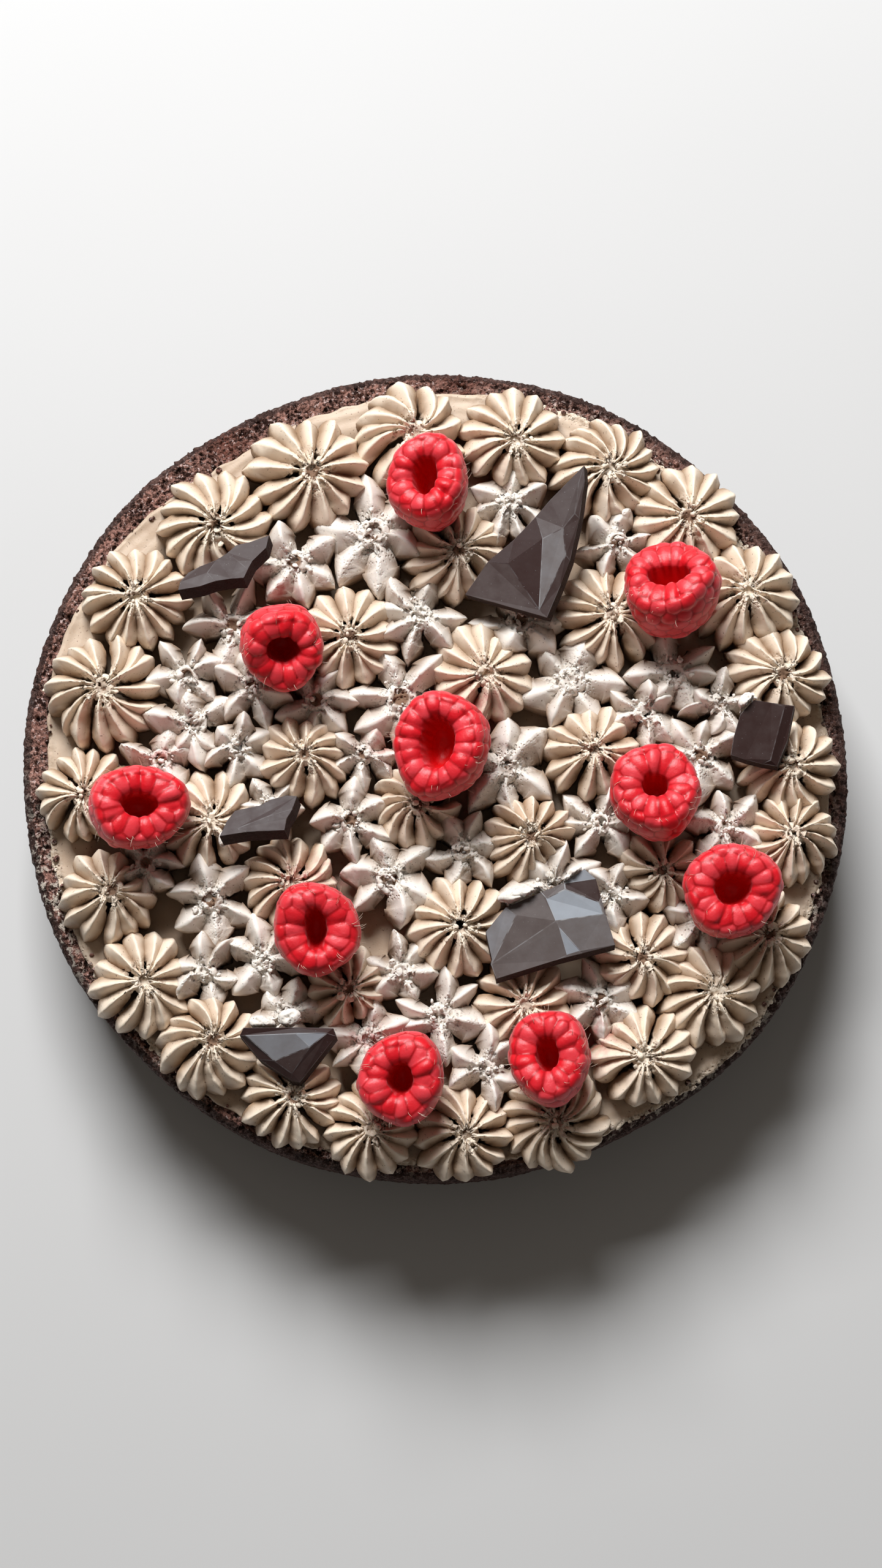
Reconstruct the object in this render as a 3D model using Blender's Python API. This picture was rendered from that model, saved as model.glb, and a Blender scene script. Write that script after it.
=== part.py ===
"""Round dark chocolate cake, 20 cm across: a levelled sponge filled with mocha cream, with piped
rosettes, pale piped flowers, raspberries standing on their tips and broken pieces of chocolate.

All sizes below are millimetres; the model is in metres, +Z up, standing on z = 0 with its centre
over the origin.  +Y is the back of the cake and +X its right side.
"""
import math
import random

import bmesh
import bpy
from mathutils import Vector

MM = 0.001
TURN = 2.0 * math.pi
CLEARANCE = 0.3             # gap kept between pieces that touch
UPRIGHT = Vector((0.0, 0.0, 1.0))

# Sponge: a 20 cm tin, levelled after baking.
SPONGE_RADIUS = 100.0
SPONGE_HEIGHT = 34.0
SPONGE_POINTS = 64
SPONGE_WAVES = ((2, 0.45, 0.6), (4, 0.35, 2.1), (6, 0.25, 4.0), (10, 0.2, 1.3))
# Side of the sponge from the table up: height, and how far it lies inside the full radius.
SPONGE_SIDE = ((0.0, 3.2), (2.4, 1.0), (12.0, 0.0), (31.0, 0.4), (34.0, 2.2))
RIM_EDGE = 0.6               # flat top of the rim where it is thinnest
RIM_MINIMUM = 2.0
RIM_WIDTHS = (
    (0, 5.4), (20, 5.6), (42, 8.0), (62, 6.2), (90, 6.6), (107, 7.4), (128, 8.8), (148, 6.4),
    (165, 5.2), (180, 7.0), (200, 5.4), (225, 4.6), (250, 4.2), (280, 4.0), (294, 2.0),
    (308, 1.0), (324, 1.6), (338, 4.4),
)

# Cream bed: fills the hollow of the sponge and laps a little over its rim.
BED_DEPTH = 5.0
BED_TOP = 35.2
BED_LAP = 0.5
BED_LAP_LOWER_RIGHT = 1.9
LOWER_RIGHT_ANGLE = math.radians(308.0)
LOWER_RIGHT_SPREAD = math.radians(26.0)

# Mocha rosettes: x, y, radius, and how far the tip leans in x and y.
ROSETTES = (
    (-53.7, 59.3, 13.1, 1.0, -3.4), (-72.5, 40.2, 12.3, 0.8, -1.6), (-79.3, 16.9, 13.2, 0.4, -0.4),
    (-83.5, -7.5, 10.8, 0.6, -2.0), (-77.5, -33.0, 11.1, 1.9, 1.2), (-69.1, -52.9, 11.7, 1.9, -0.5),
    (-53.3, -68.1, 11.2, 2.3, 1.2), (-34.2, -79.6, 11.1, 1.8, -0.3), (-15.1, -87.0, 10.6, 0.9, -0.4),
    (5.6, -88.0, 10.7, 2.0, -0.7), (27.9, -84.3, 11.7, 0.2, -1.8), (48.0, -69.1, 11.7, 0.9, -2.0),
    (63.5, -56.0, 11.6, 2.1, 0.0), (75.9, -42.9, 11.2, 2.3, 0.9), (84.5, -18.9, 10.3, -0.2, 0.6),
    (83.9, -1.2, 11.3, 1.2, -1.3), (81.2, 21.6, 11.8, 2.1, -2.0), (74.5, 40.2, 12.3, 0.9, 0.2),
    (60.5, 60.9, 12.6, 0.7, -2.6), (40.5, 72.3, 12.3, 2.2, -1.7), (18.6, 80.8, 12.3, 1.4, -3.4),
    (-7.2, 80.5, 12.9, 2.8, -0.7), (-32.3, 71.8, 13.6, 3.2, -2.2),
    (3.6, 51.6, 12.3, 2.4, -1.7), (-20.1, 30.4, 12.1, -0.2, -1.7), (11.3, 22.6, 12.7, 1.1, -2.6),
    (41.6, 35.1, 12.3, 1.0, -0.6), (-30.9, 0.8, 11.1, 0.1, -0.3), (37.5, 2.4, 11.6, 0.3, -0.9),
    (-4.7, -12.2, 10.3, 0.7, 0.9), (21.1, -20.0, 10.8, 2.1, 0.8), (4.6, -39.3, 11.7, 1.6, -1.3),
    (-54.2, -14.3, 11.6, 1.9, -1.6), (-34.6, -29.4, 10.8, 1.0, -0.9), (-20.2, -53.9, 9.8, 0.7, -1.7),
    (20.1, -57.1, 10.9, 1.1, -1.9), (48.0, -46.6, 11.2, 0.5, -1.5), (52.1, -26.2, 9.8, 1.7, -1.5),
)
ROSETTE_RIBS = 12
ROSETTE_SINK = 0.6
# Rings of a rosette: height, share of the radius, share left in a groove.
ROSETTE_RINGS = ((0.0, 1.0, 0.76), (8.8, 0.70, 0.76))
ROSETTE_TIP = 13.2
ROSETTE_TWIST = math.radians(5.0)

# Pale flowers: x, y, radius, and the directions of their petals in degrees from +X.
FLOWERS = (
    (-33.9, 48.1, 11.3, (32, 117, 180, 232, 290, 330)),
    (-15.0, 55.6, 13.8, (51, 101, 175, 239, 278, 333)),
    (-3.7, 34.7, 11.3, (3, 67, 122, 169, 210, 257, 318)),
    (18.2, 63.1, 10.3, (25, 84, 149, 211, 252, 290, 330)),
    (44.0, 53.2, 9.7, (8, 73, 137, 196, 252, 319)),
    (20.4, 33.5, 11.3, (5, 60, 118, 176, 236, 315)),
    (32.6, 19.0, 12.3, (72, 132, 202, 249, 311, 353)),
    (57.1, 20.6, 12.3, (0, 38, 95, 180, 230, 299)),
    (50.1, 11.4, 9.8, (21, 88, 149, 204, 267, 318)),
    (68.1, 13.4, 9.3, (0, 76, 149, 196, 248, 300)),
    (63.3, 0.5, 10.8, (28, 75, 125, 180, 268, 314)),
    (68.7, -16.5, 9.3, (42, 105, 174, 225, 280, 335)),
    (39.1, -15.7, 9.8, (15, 79, 136, 177, 237, 311)),
    (41.9, -32.7, 9.3, (66, 130, 200, 270, 346)),
    (28.1, -31.0, 12.4, (32, 80, 135, 187, 250, 320)),
    (17.3, -2.1, 12.3, (42, 95, 165, 229, 280, 327)),
    (-8.1, 14.6, 13.4, (50, 116, 174, 213, 270, 345)),
    (-28.2, 14.2, 9.8, (1, 60, 120, 201, 255, 315)),
    (-16.9, 1.0, 8.7, (0, 60, 141, 211, 267, 308)),
    (-19.9, -14.8, 10.1, (31, 86, 179, 228, 275, 333)),
    (-10.5, -29.1, 11.9, (42, 107, 173, 213, 279, 339)),
    (6.6, -22.0, 9.8, (8, 66, 126, 194, 244, 308)),
    (-7.9, -50.6, 8.8, (42, 105, 160, 229, 292, 349)),
    (1.4, -61.1, 11.4, (42, 90, 160, 197, 274, 343)),
    (11.8, -73.1, 9.3, (37, 90, 151, 211, 278, 330)),
    (38.6, -57.5, 10.3, (20, 109, 158, 223, 270, 339)),
    (62.4, -38.3, 9.3, (40, 100, 160, 220, 282, 331)),
    (-52.9, -33.9, 10.8, (46, 102, 167, 213, 277, 329)),
    (-68.1, -25.2, 8.8, (2, 60, 130, 200, 260, 321)),
    (-53.6, -50.7, 9.3, (45, 93, 173, 229, 282, 357)),
    (-40.0, -48.3, 10.3, (50, 103, 148, 222, 285, 349)),
    (-34.4, -60.6, 9.3, (6, 77, 129, 189, 240, 300)),
    (-59.4, 20.1, 9.8, (26, 76, 128, 191, 250, 322)),
    (-48.6, 32.4, 11.3, (12, 70, 128, 182, 256, 312)),
    (-47.2, 2.9, 9.3, (26, 77, 137, 207, 265, 314)),
    (-65.1, -0.3, 9.3, (18, 85, 166, 245, 310)),
    (-57.6, 8.7, 11.3, (40, 100, 175, 233, 285, 318)),
    (-43.9, 17.5, 10.3, (40, 100, 158, 232, 292, 340)),
    (-38.9, -11.4, 8.2, (0, 60, 120, 180, 240, 300)),
    (-15.2, -66.3, 10.3, (29, 80, 168, 215, 270, 330)),
)
FLOWER_BASE = BED_TOP + CLEARANCE
FLOWER_TIP = 10.2
FLOWER_FOOT = 0.86
# Where on a petal: share of the way to the next groove, share of the radius, height over the base.
PETAL_FLANK = (0.50, 0.78, 3.6)
PETAL_TIP_HEIGHT = 4.3
PETAL_GROOVE = (0.46, 2.0)

# Raspberries: x, y, width in x and y, lean of the mouth in x and y, width of the mouth in x and y.
RASPBERRIES = (
    (-1.1, 64.8, 19.4, 22.3, -1.6, 0.4, 6.5, 10.0),
    (56.4, 38.2, 21.9, 22.6, -2.2, 4.0, 10.5, 6.0),
    (-36.3, 26.0, 20.1, 19.6, 1.4, -4.6, 9.0, 7.0),
    (2.0, 1.2, 23.2, 25.4, -1.8, -0.5, 9.0, 13.0),
    (-69.4, -13.3, 22.9, 19.8, 1.8, -0.6, 9.0, 6.5),
    (-27.3, -41.5, 20.3, 21.1, 0.3, -1.3, 5.5, 10.5),
    (-7.3, -75.9, 19.8, 20.9, -0.4, -0.9, 6.5, 8.0),
    (26.6, -71.5, 18.9, 21.1, -1.4, 0.7, 5.8, 8.6),
    (68.8, -32.8, 22.1, 22.7, -0.7, -0.6, 9.0, 8.6),
    (51.6, -10.3, 21.9, 21.4, -0.8, 1.5, 6.8, 6.0),
)
BERRY_HEIGHT = 19.6
BERRY_BOTTOM = 39.8
BERRY_DRUPELETS = 10
# Outer skin from the tip up to the mouth: share of the half width, share of the height.
BERRY_SKIN = ((0.42, 0.02), (0.85, 0.28), (1.0, 0.62), (0.70, 0.985))
BERRY_LIP = (1.18, 0.90)
BERRY_HOLLOW = (0.72, 0.46)
DRUPELET_DEPTH = 0.09
LEAN_REACH = 9.0

# Chocolate: corners of the moulded face, height of its middle, its rise towards +X and +Y,
# and the place and height of the moulded peak.
SHARDS = (
    (((-61.2, 40.1), (-57.7, 39.2), (-52.6, 41.0), (-45.5, 42.1), (-43.6, 46.2), (-39.9, 52.3),
      (-47.0, 50.3), (-51.6, 45.6), (-58.7, 42.9)), 49.6, (0.08, -0.34), (-50.0, 43.6, 0.2)),
    (((7.5, 40.1), (26.3, 32.9), (32.6, 50.3), (35.4, 69.0), (27.0, 60.2), (19.5, 53.2)),
     50.6, (0.22, 0.02), (24.5, 49.5, 1.5)),
    (((69.9, -0.8), (80.6, -2.8), (84.9, 11.2), (74.5, 12.0)), 50.0, (-0.16, 0.06),
     (79.6, 5.0, 0.9)),
    (((-49.8, -20.2), (-35.6, -18.7), (-32.5, -10.0), (-40.1, -11.5), (-46.7, -14.6)),
     50.6, (0.03, -0.36), (-39.0, -15.0, 0.4)),
    (((-44.8, -65.0), (-32.6, -75.3), (-21.4, -64.5), (-33.0, -63.2)), 49.8, (0.0, 0.22),
     (-33.0, -67.0, 0.9)),
    (((12.2, -45.4), (13.8, -52.6), (26.4, -50.1), (41.7, -45.2), (39.6, -38.2), (36.0, -27.4),
      (25.4, -32.6), (17.3, -36.2)), 50.4, (0.05, 0.02), (28.6, -40.5, 1.3)),
)
SHARD_THICKNESS = 3.0

# The space cut for a raspberry or a piece of chocolate: its growth across and upwards, and how
# far the space reaches up.
BERRY_GROWTH = Vector((1.045, 1.045, 1.045))
SHARD_GROWTH = Vector((1.08, 1.08, 1.25))
CUTTER_REACH = 26.0
DUST = 0.02                 # shortest edge left by a cut
FLAT_ANGLE = math.radians(1.5)


def main():
    """Build the cake."""
    clear_scene()
    cake = new_collection("chocolate_cake")
    cutters = new_collection("cutters")
    paints = make_materials()
    draw = random.Random(7)

    build_sponge(cake, paints["sponge"])
    bed = build_bed(cake, paints["mocha"])
    rosettes = build_rosettes(draw, paints["mocha"])
    flowers = build_flowers(cake, draw, paints["pale"])
    berries = build_raspberries(cake, draw, paints["berry"])
    shards = build_shards(cake, paints["chocolate"])

    bpy.context.view_layer.update()
    for berry in berries:
        cutter_over(berry, BERRY_GROWTH, cutters)
    for shard in shards:
        cutter_over(shard, SHARD_GROWTH, cutters)
    fuse(bed, rosettes)
    for piece in [bed] + flowers:
        cut(piece, cutters)
    for cutter in list(cutters.objects):
        remove(cutter)


# --- Scene and materials --------------------------------------------------------------------

def clear_scene():
    """Remove every object and the collections left empty by that."""
    for obj in list(bpy.data.objects):
        bpy.data.objects.remove(obj, do_unlink=True)
    for collection in list(bpy.data.collections):
        bpy.data.collections.remove(collection)


def new_collection(name):
    """Add a collection to the scene."""
    collection = bpy.data.collections.new(name)
    bpy.context.scene.collection.children.link(collection)
    return collection


def new_material(name, color, roughness, coat=0.0):
    """A plain Principled material."""
    material = bpy.data.materials.new(name)
    material.use_nodes = True
    shader = material.node_tree.nodes["Principled BSDF"]
    shader.inputs["Base Color"].default_value = (*color, 1.0)
    shader.inputs["Roughness"].default_value = roughness
    shader.inputs["Metallic"].default_value = 0.0
    shader.inputs["Coat Weight"].default_value = coat
    material.diffuse_color = (*color, 1.0)
    return material


def make_materials():
    """One material for each kind of piece, in linear colours."""
    return {
        "sponge": new_material("dark_sponge", (0.062, 0.028, 0.020), 0.85),
        "mocha": new_material("mocha_cream", (0.60, 0.43, 0.33), 0.55),
        "pale": new_material("pale_cream", (0.66, 0.58, 0.51), 0.55),
        "berry": new_material("raspberry_skin", (0.55, 0.018, 0.030), 0.35, 0.3),
        "chocolate": new_material("dark_chocolate", (0.045, 0.028, 0.026), 0.30),
    }


# --- Mesh helpers ---------------------------------------------------------------------------

def loft(name, rings, material, apex=None):
    """A closed solid through rings of as many points, the lowest outer ring first.

    Quads join each ring to the next; the first ring gets a flat cap, and the last one a flat cap
    or, where an apex is given, triangles up to it.
    """
    bm = bmesh.new()
    loops = [[bm.verts.new(Vector(point) * MM) for point in ring] for ring in rings]
    count = len(loops[0])
    for low, high in zip(loops, loops[1:]):
        for i in range(count):
            j = (i + 1) % count
            bm.faces.new((low[i], low[j], high[j], high[i]))
    bm.faces.new(loops[0][::-1])
    if apex is None:
        bm.faces.new(loops[-1])
    else:
        peak = bm.verts.new(Vector(apex) * MM)
        for i in range(count):
            bm.faces.new((loops[-1][i], loops[-1][(i + 1) % count], peak))
    bmesh.ops.triangulate(bm, faces=bm.faces[:])
    return to_object(name, bm, material)


def to_object(name, bm, material):
    """Turn a bmesh into an object that wears one material."""
    mesh = bpy.data.meshes.new(name)
    bm.to_mesh(mesh)
    bm.free()
    mesh.materials.append(material)
    return bpy.data.objects.new(name, mesh)


def put_at(obj, x, y, z, collection):
    """Place an object, in millimetres, and link it."""
    obj.location = (x * MM, y * MM, z * MM)
    collection.objects.link(obj)
    return obj


def remove(obj):
    """Remove an object and its mesh."""
    mesh = obj.data
    bpy.data.objects.remove(obj, do_unlink=True)
    bpy.data.meshes.remove(mesh)


def apply_boolean(obj, operation, collection):
    """Join a collection to an object, or cut it away, and keep the result as its mesh."""
    boolean = obj.modifiers.new(operation.lower(), "BOOLEAN")
    boolean.operation = operation
    boolean.operand_type = "COLLECTION"
    boolean.collection = collection
    boolean.solver = "MANIFOLD"
    depsgraph = bpy.context.evaluated_depsgraph_get()
    mesh = bpy.data.meshes.new_from_object(obj.evaluated_get(depsgraph))
    old = obj.data
    obj.modifiers.clear()
    obj.data = mesh
    mesh.name = old.name
    bpy.data.meshes.remove(old)


def clean(obj):
    """Drop loose scraps and edges too short to see, and leave triangles."""
    bm = bmesh.new()
    bm.from_mesh(obj.data)
    bmesh.ops.dissolve_degenerate(bm, edges=bm.edges[:], dist=DUST * MM)
    bodies = islands(bm)
    scraps = sorted(bodies, key=len)[:-1]
    doomed = [face for body in scraps for face in body]
    bmesh.ops.delete(bm, geom=doomed, context="FACES")
    bmesh.ops.dissolve_limit(bm, angle_limit=FLAT_ANGLE, verts=bm.verts[:], edges=bm.edges[:])
    bmesh.ops.triangulate(bm, faces=bm.faces[:])
    bm.to_mesh(obj.data)
    bm.free()


def islands(bm):
    """Groups of faces that are joined by edges."""
    unseen = set(bm.faces)
    groups = []
    while unseen:
        stack = [unseen.pop()]
        group = []
        while stack:
            face = stack.pop()
            group.append(face)
            for edge in face.edges:
                for other in edge.link_faces:
                    if other in unseen:
                        unseen.remove(other)
                        stack.append(other)
        groups.append(group)
    return groups


# --- Sponge and cream bed -------------------------------------------------------------------

def around(table, angle):
    """Value at an angle from a closed table of (degrees, value), eased between its entries."""
    degrees = math.degrees(angle) % 360.0
    entries = list(table) + [(table[0][0] + 360.0, table[0][1])]
    for (start, low), (end, high) in zip(entries, entries[1:]):
        if start <= degrees <= end:
            share = (degrees - start) / (end - start)
            share = share * share * (3.0 - 2.0 * share)
            return low + (high - low) * share
    return table[0][1]


def sponge_radius(angle):
    """Outer radius of the sponge; waves of even number keep its box centred on the origin."""
    return SPONGE_RADIUS + sum(size * math.cos(count * angle + phase)
                               for count, size, phase in SPONGE_WAVES)


def bed_radius(angle):
    """Radius of the cream's edge inside the rim."""
    return sponge_radius(angle) - max(around(RIM_WIDTHS, angle), RIM_MINIMUM)


def bed_lap(angle):
    """How far the cream laps over the rim, most at the lower right."""
    turn = (angle - LOWER_RIGHT_ANGLE + math.pi) % TURN - math.pi
    swell = math.exp(-(turn / LOWER_RIGHT_SPREAD) ** 2)
    return BED_LAP + (BED_LAP_LOWER_RIGHT - BED_LAP) * swell


def ring_of(radius, height, count=SPONGE_POINTS):
    """A ring whose radius is a function of the angle."""
    angles = [TURN * i / count for i in range(count)]
    return [(radius(a) * math.cos(a), radius(a) * math.sin(a), height) for a in angles]


def build_sponge(collection, material):
    """The sponge: a disc with a rounded side and a shallow hollow inside its crumb rim."""
    rings = [ring_of(lambda a, inset=inset: sponge_radius(a) - inset, height)
             for height, inset in SPONGE_SIDE[:-1]]
    top_inset = SPONGE_SIDE[-1][1]
    rings.append(ring_of(lambda a: max(sponge_radius(a) - top_inset, bed_radius(a) + RIM_EDGE),
                         SPONGE_HEIGHT))
    rings.append(ring_of(bed_radius, SPONGE_HEIGHT))
    rings.append(ring_of(bed_radius, SPONGE_HEIGHT - BED_DEPTH))
    sponge = loft("sponge", rings, material)
    return put_at(sponge, 0.0, 0.0, 0.0, collection)


def build_bed(collection, material):
    """The bed of cream that fills the hollow."""
    floor = SPONGE_HEIGHT - BED_DEPTH + CLEARANCE
    lip = SPONGE_HEIGHT + CLEARANCE
    rings = [
        ring_of(lambda a: bed_radius(a) - CLEARANCE, floor),
        ring_of(lambda a: bed_radius(a) - CLEARANCE, lip),
        ring_of(lambda a: bed_radius(a) + bed_lap(a), lip),
        ring_of(lambda a: bed_radius(a) + bed_lap(a) - 0.5, BED_TOP),
    ]
    bed = loft("mocha_cream", rings, material)
    return put_at(bed, 0.0, 0.0, 0.0, collection)


# --- Piped pieces ---------------------------------------------------------------------------

def piped_plan():
    """Centre and radius of every piped piece, rosettes first."""
    return [row[:3] for row in ROSETTES] + [row[:3] for row in FLOWERS]


def room(index, plan):
    """Where a piped piece meets its neighbours: the direction and distance of each straight seam.

    The seam between two pieces divides the way between their centres as their radii do.
    """
    x, y, radius = plan[index]
    seams = []
    for other, (u, v, width) in enumerate(plan):
        apart = math.hypot(u - x, v - y)
        if other != index and apart < radius + width:
            reach = apart * radius / (radius + width) - 0.5 * CLEARANCE
            seams.append((math.atan2(v - y, u - x), reach))
    return seams


def within(radius, angle, seams):
    """A radius at an angle, shortened where it would cross a seam."""
    for direction, reach in seams:
        facing = math.cos(angle - direction)
        if facing > 0.0:
            radius = min(radius, reach / facing)
    return radius


def build_rosettes(draw, material):
    """One solid for each mocha rosette, standing a little in the bed."""
    plan = piped_plan()
    rosettes = []
    for index, (x, y, radius, lean_x, lean_y) in enumerate(ROSETTES):
        seams = room(index, plan)
        phase = draw.uniform(0.0, TURN)
        tall = draw.uniform(0.95, 1.05)
        rings = []
        for level, (height, share, groove) in enumerate(ROSETTE_RINGS):
            ring = []
            for i in range(2 * ROSETTE_RIBS):
                angle = phase + math.pi * i / ROSETTE_RIBS + level * ROSETTE_TWIST
                crest = 1.0 if i % 2 == 0 else groove
                reach = within(radius * crest, angle, seams) * share
                ring.append((reach * math.cos(angle) + lean_x * (1.0 - share),
                             reach * math.sin(angle) + lean_y * (1.0 - share),
                             height * tall - (1.0 - crest) * height * 0.4))
            rings.append(ring)
        rosette = loft(f"rosette_{index + 1:02d}", rings, material,
                       apex=(lean_x, lean_y, ROSETTE_TIP * tall))
        rosette.location = (x * MM, y * MM, (BED_TOP - ROSETTE_SINK) * MM)
        rosettes.append(rosette)
    return rosettes


def petal_corners(petals, radius, seams):
    """Corners round a flower: for each petal a flank, the tip, a flank and the groove after it."""
    corners = []
    count = len(petals)
    flank_turn, flank_share, flank_height = PETAL_FLANK
    groove_share, groove_height = PETAL_GROOVE
    for i, degrees in enumerate(petals):
        before = (degrees - petals[i - 1]) % 360 / 2.0
        after = (petals[(i + 1) % count] - degrees) % 360 / 2.0
        spots = (
            (degrees - before * flank_turn, flank_share, flank_height),
            (degrees, 1.0, PETAL_TIP_HEIGHT),
            (degrees + after * flank_turn, flank_share, flank_height),
            (degrees + after, groove_share, groove_height),
        )
        for place, share, height in spots:
            angle = math.radians(place)
            corners.append((angle, within(radius * share, angle, seams), height))
    return corners


def build_flowers(collection, draw, material):
    """One node for each pale flower, standing on the bed."""
    plan = piped_plan()
    flowers = []
    for index, (x, y, radius, petals) in enumerate(FLOWERS):
        seams = room(len(ROSETTES) + index, plan)
        tall = draw.uniform(0.94, 1.06)
        corners = petal_corners(petals, radius, seams)
        foot = [(reach * FLOWER_FOOT * math.cos(angle), reach * FLOWER_FOOT * math.sin(angle), 0.0)
                for angle, reach, _ in corners]
        crown = [(reach * math.cos(angle), reach * math.sin(angle), height * tall)
                 for angle, reach, height in corners]
        flower = loft(f"pale_flower_{index + 1:02d}", [foot, crown], material,
                      apex=(0.0, 0.0, FLOWER_TIP * tall))
        flowers.append(put_at(flower, x, y, FLOWER_BASE, collection))
    return flowers


# --- Raspberries and chocolate --------------------------------------------------------------

def build_raspberries(collection, draw, material):
    """Hollow raspberries standing on their tips, drupelets as staggered bumps."""
    berries = []
    points = 2 * BERRY_DRUPELETS
    middle = 0.5 * BERRY_HEIGHT
    for index, row in enumerate(RASPBERRIES):
        x, y, wide, deep, lean_x, lean_y, mouth_wide, mouth_deep = row
        phase = draw.uniform(0.0, TURN)
        half = (0.5 * wide, 0.5 * deep)
        mouth = (0.5 * mouth_wide, 0.5 * mouth_deep)
        levels = [(half, share, height, DRUPELET_DEPTH) for share, height in BERRY_SKIN]
        levels.append((mouth, *BERRY_LIP, DRUPELET_DEPTH))
        levels.append((mouth, *BERRY_HOLLOW, 0.0))
        rings = []
        for level, (size, share, height, depth) in enumerate(levels):
            ring = []
            for i in range(points):
                angle = phase + TURN * i / points
                bump = share * (1.0 - depth * ((i + level) % 2))
                ring.append((size[0] * bump * math.cos(angle), size[1] * bump * math.sin(angle),
                             height * BERRY_HEIGHT - middle))
            rings.append(ring)
        berry = loft(f"raspberry_{index + 1:02d}", rings, material)
        axis = Vector((lean_x, lean_y, LEAN_REACH))
        berry.rotation_euler = UPRIGHT.rotation_difference(axis).to_euler()
        berries.append(put_at(berry, x, y, BERRY_BOTTOM + middle, collection))
    return berries


def build_shards(collection, material):
    """Broken pieces of a moulded bar: slabs whose top rises to a peak."""
    shards = []
    for index, (corners, height, (rise_x, rise_y), (peak_x, peak_y, peak)) in enumerate(SHARDS):
        x = sum(corner[0] for corner in corners) / len(corners)
        y = sum(corner[1] for corner in corners) / len(corners)
        tilt = UPRIGHT.rotation_difference(Vector((-rise_x, -rise_y, 1.0)))

        def on_face(u, v, above=0.0):
            spot = Vector((u - x, v - y, rise_x * (u - x) + rise_y * (v - y)))
            return tilt.inverted() @ spot + UPRIGHT * above

        under = [on_face(u, v, -SHARD_THICKNESS) for u, v in corners]
        top = [on_face(u, v) for u, v in corners]
        apex = on_face(peak_x, peak_y, peak)
        shard = loft(f"chocolate_shard_{index + 1}", [under, top], material, apex=apex)
        shard.rotation_euler = tilt.to_euler()
        shards.append(put_at(shard, x, y, height, collection))
    return shards


# --- Joining and cutting --------------------------------------------------------------------

def fuse(body, pieces):
    """Join the pieces to a body by one union, and remove them."""
    joined = new_collection("fused")
    for piece in pieces:
        joined.objects.link(piece)
    bpy.context.view_layer.update()
    apply_boolean(body, "UNION", joined)
    for piece in pieces:
        remove(piece)
    bpy.data.collections.remove(joined)


def cutter_over(piece, growth, collection):
    """The space that a piece needs: the convex hull of the piece, grown, and of the same raised."""
    middle = sum((vertex.co for vertex in piece.data.vertices), Vector()) / len(piece.data.vertices)
    bm = bmesh.new()
    for vertex in piece.data.vertices:
        spot = piece.matrix_world @ (middle + (vertex.co - middle) * growth)
        bm.verts.new(spot)
        bm.verts.new(spot + UPRIGHT * CUTTER_REACH * MM)
    hull = bmesh.ops.convex_hull(bm, input=bm.verts[:])
    inside = {item for item in hull["geom_interior"] if isinstance(item, bmesh.types.BMVert)}
    bmesh.ops.delete(bm, geom=list(inside), context="VERTS")
    cutter = to_object(f"cutter_{piece.name}", bm, piece.data.materials[0])
    cutter.hide_render = True
    cutter.display_type = "WIRE"
    collection.objects.link(cutter)


def cut(piece, cutters):
    """Take the cutters' space out of a piece."""
    bpy.context.view_layer.update()
    apply_boolean(piece, "DIFFERENCE", cutters)
    clean(piece)


main()
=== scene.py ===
"""Looks of a round dark chocolate cake with piped mocha cream, pale flowers and raspberries.

The cake stands on z = 0 with its centre over the origin, +Y to its back and +X to its right.
Tables and sizes are in millimetres; meshes are in metres.
"""

import logging
import random
from dataclasses import dataclass, field, replace
from enum import Enum
from math import atan2, cos, hypot, pi, radians, sin
from typing import Any, Iterable, Mapping, Sequence

import bmesh
import bpy
import numpy as np
from mathutils import Matrix, Vector
from mathutils.kdtree import KDTree


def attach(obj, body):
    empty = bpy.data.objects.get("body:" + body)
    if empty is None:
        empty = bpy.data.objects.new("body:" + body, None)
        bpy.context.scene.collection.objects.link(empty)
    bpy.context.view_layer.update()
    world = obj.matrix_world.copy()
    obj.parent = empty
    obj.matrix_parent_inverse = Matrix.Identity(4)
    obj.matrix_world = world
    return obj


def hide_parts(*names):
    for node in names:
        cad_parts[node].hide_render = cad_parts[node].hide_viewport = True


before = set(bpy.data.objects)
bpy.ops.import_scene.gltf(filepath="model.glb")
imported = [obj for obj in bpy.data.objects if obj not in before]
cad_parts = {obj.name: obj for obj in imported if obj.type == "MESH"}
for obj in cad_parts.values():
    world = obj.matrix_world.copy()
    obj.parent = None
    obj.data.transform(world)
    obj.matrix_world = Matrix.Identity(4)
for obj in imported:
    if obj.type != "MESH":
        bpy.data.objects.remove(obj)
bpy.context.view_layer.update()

Pair = tuple[float, float]
Triple = tuple[float, float, float]
Colour = Triple
Faces = list[tuple[int, ...]]
Material = bpy.types.Material

MM = 0.001
TURN = 2.0 * pi
UPRIGHT = Vector((0.0, 0.0, 1.0))
BED_TOP = 35.2               # top of the cream bed, where the piping stands
LOG = logging.getLogger("chocolate_cake")

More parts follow.
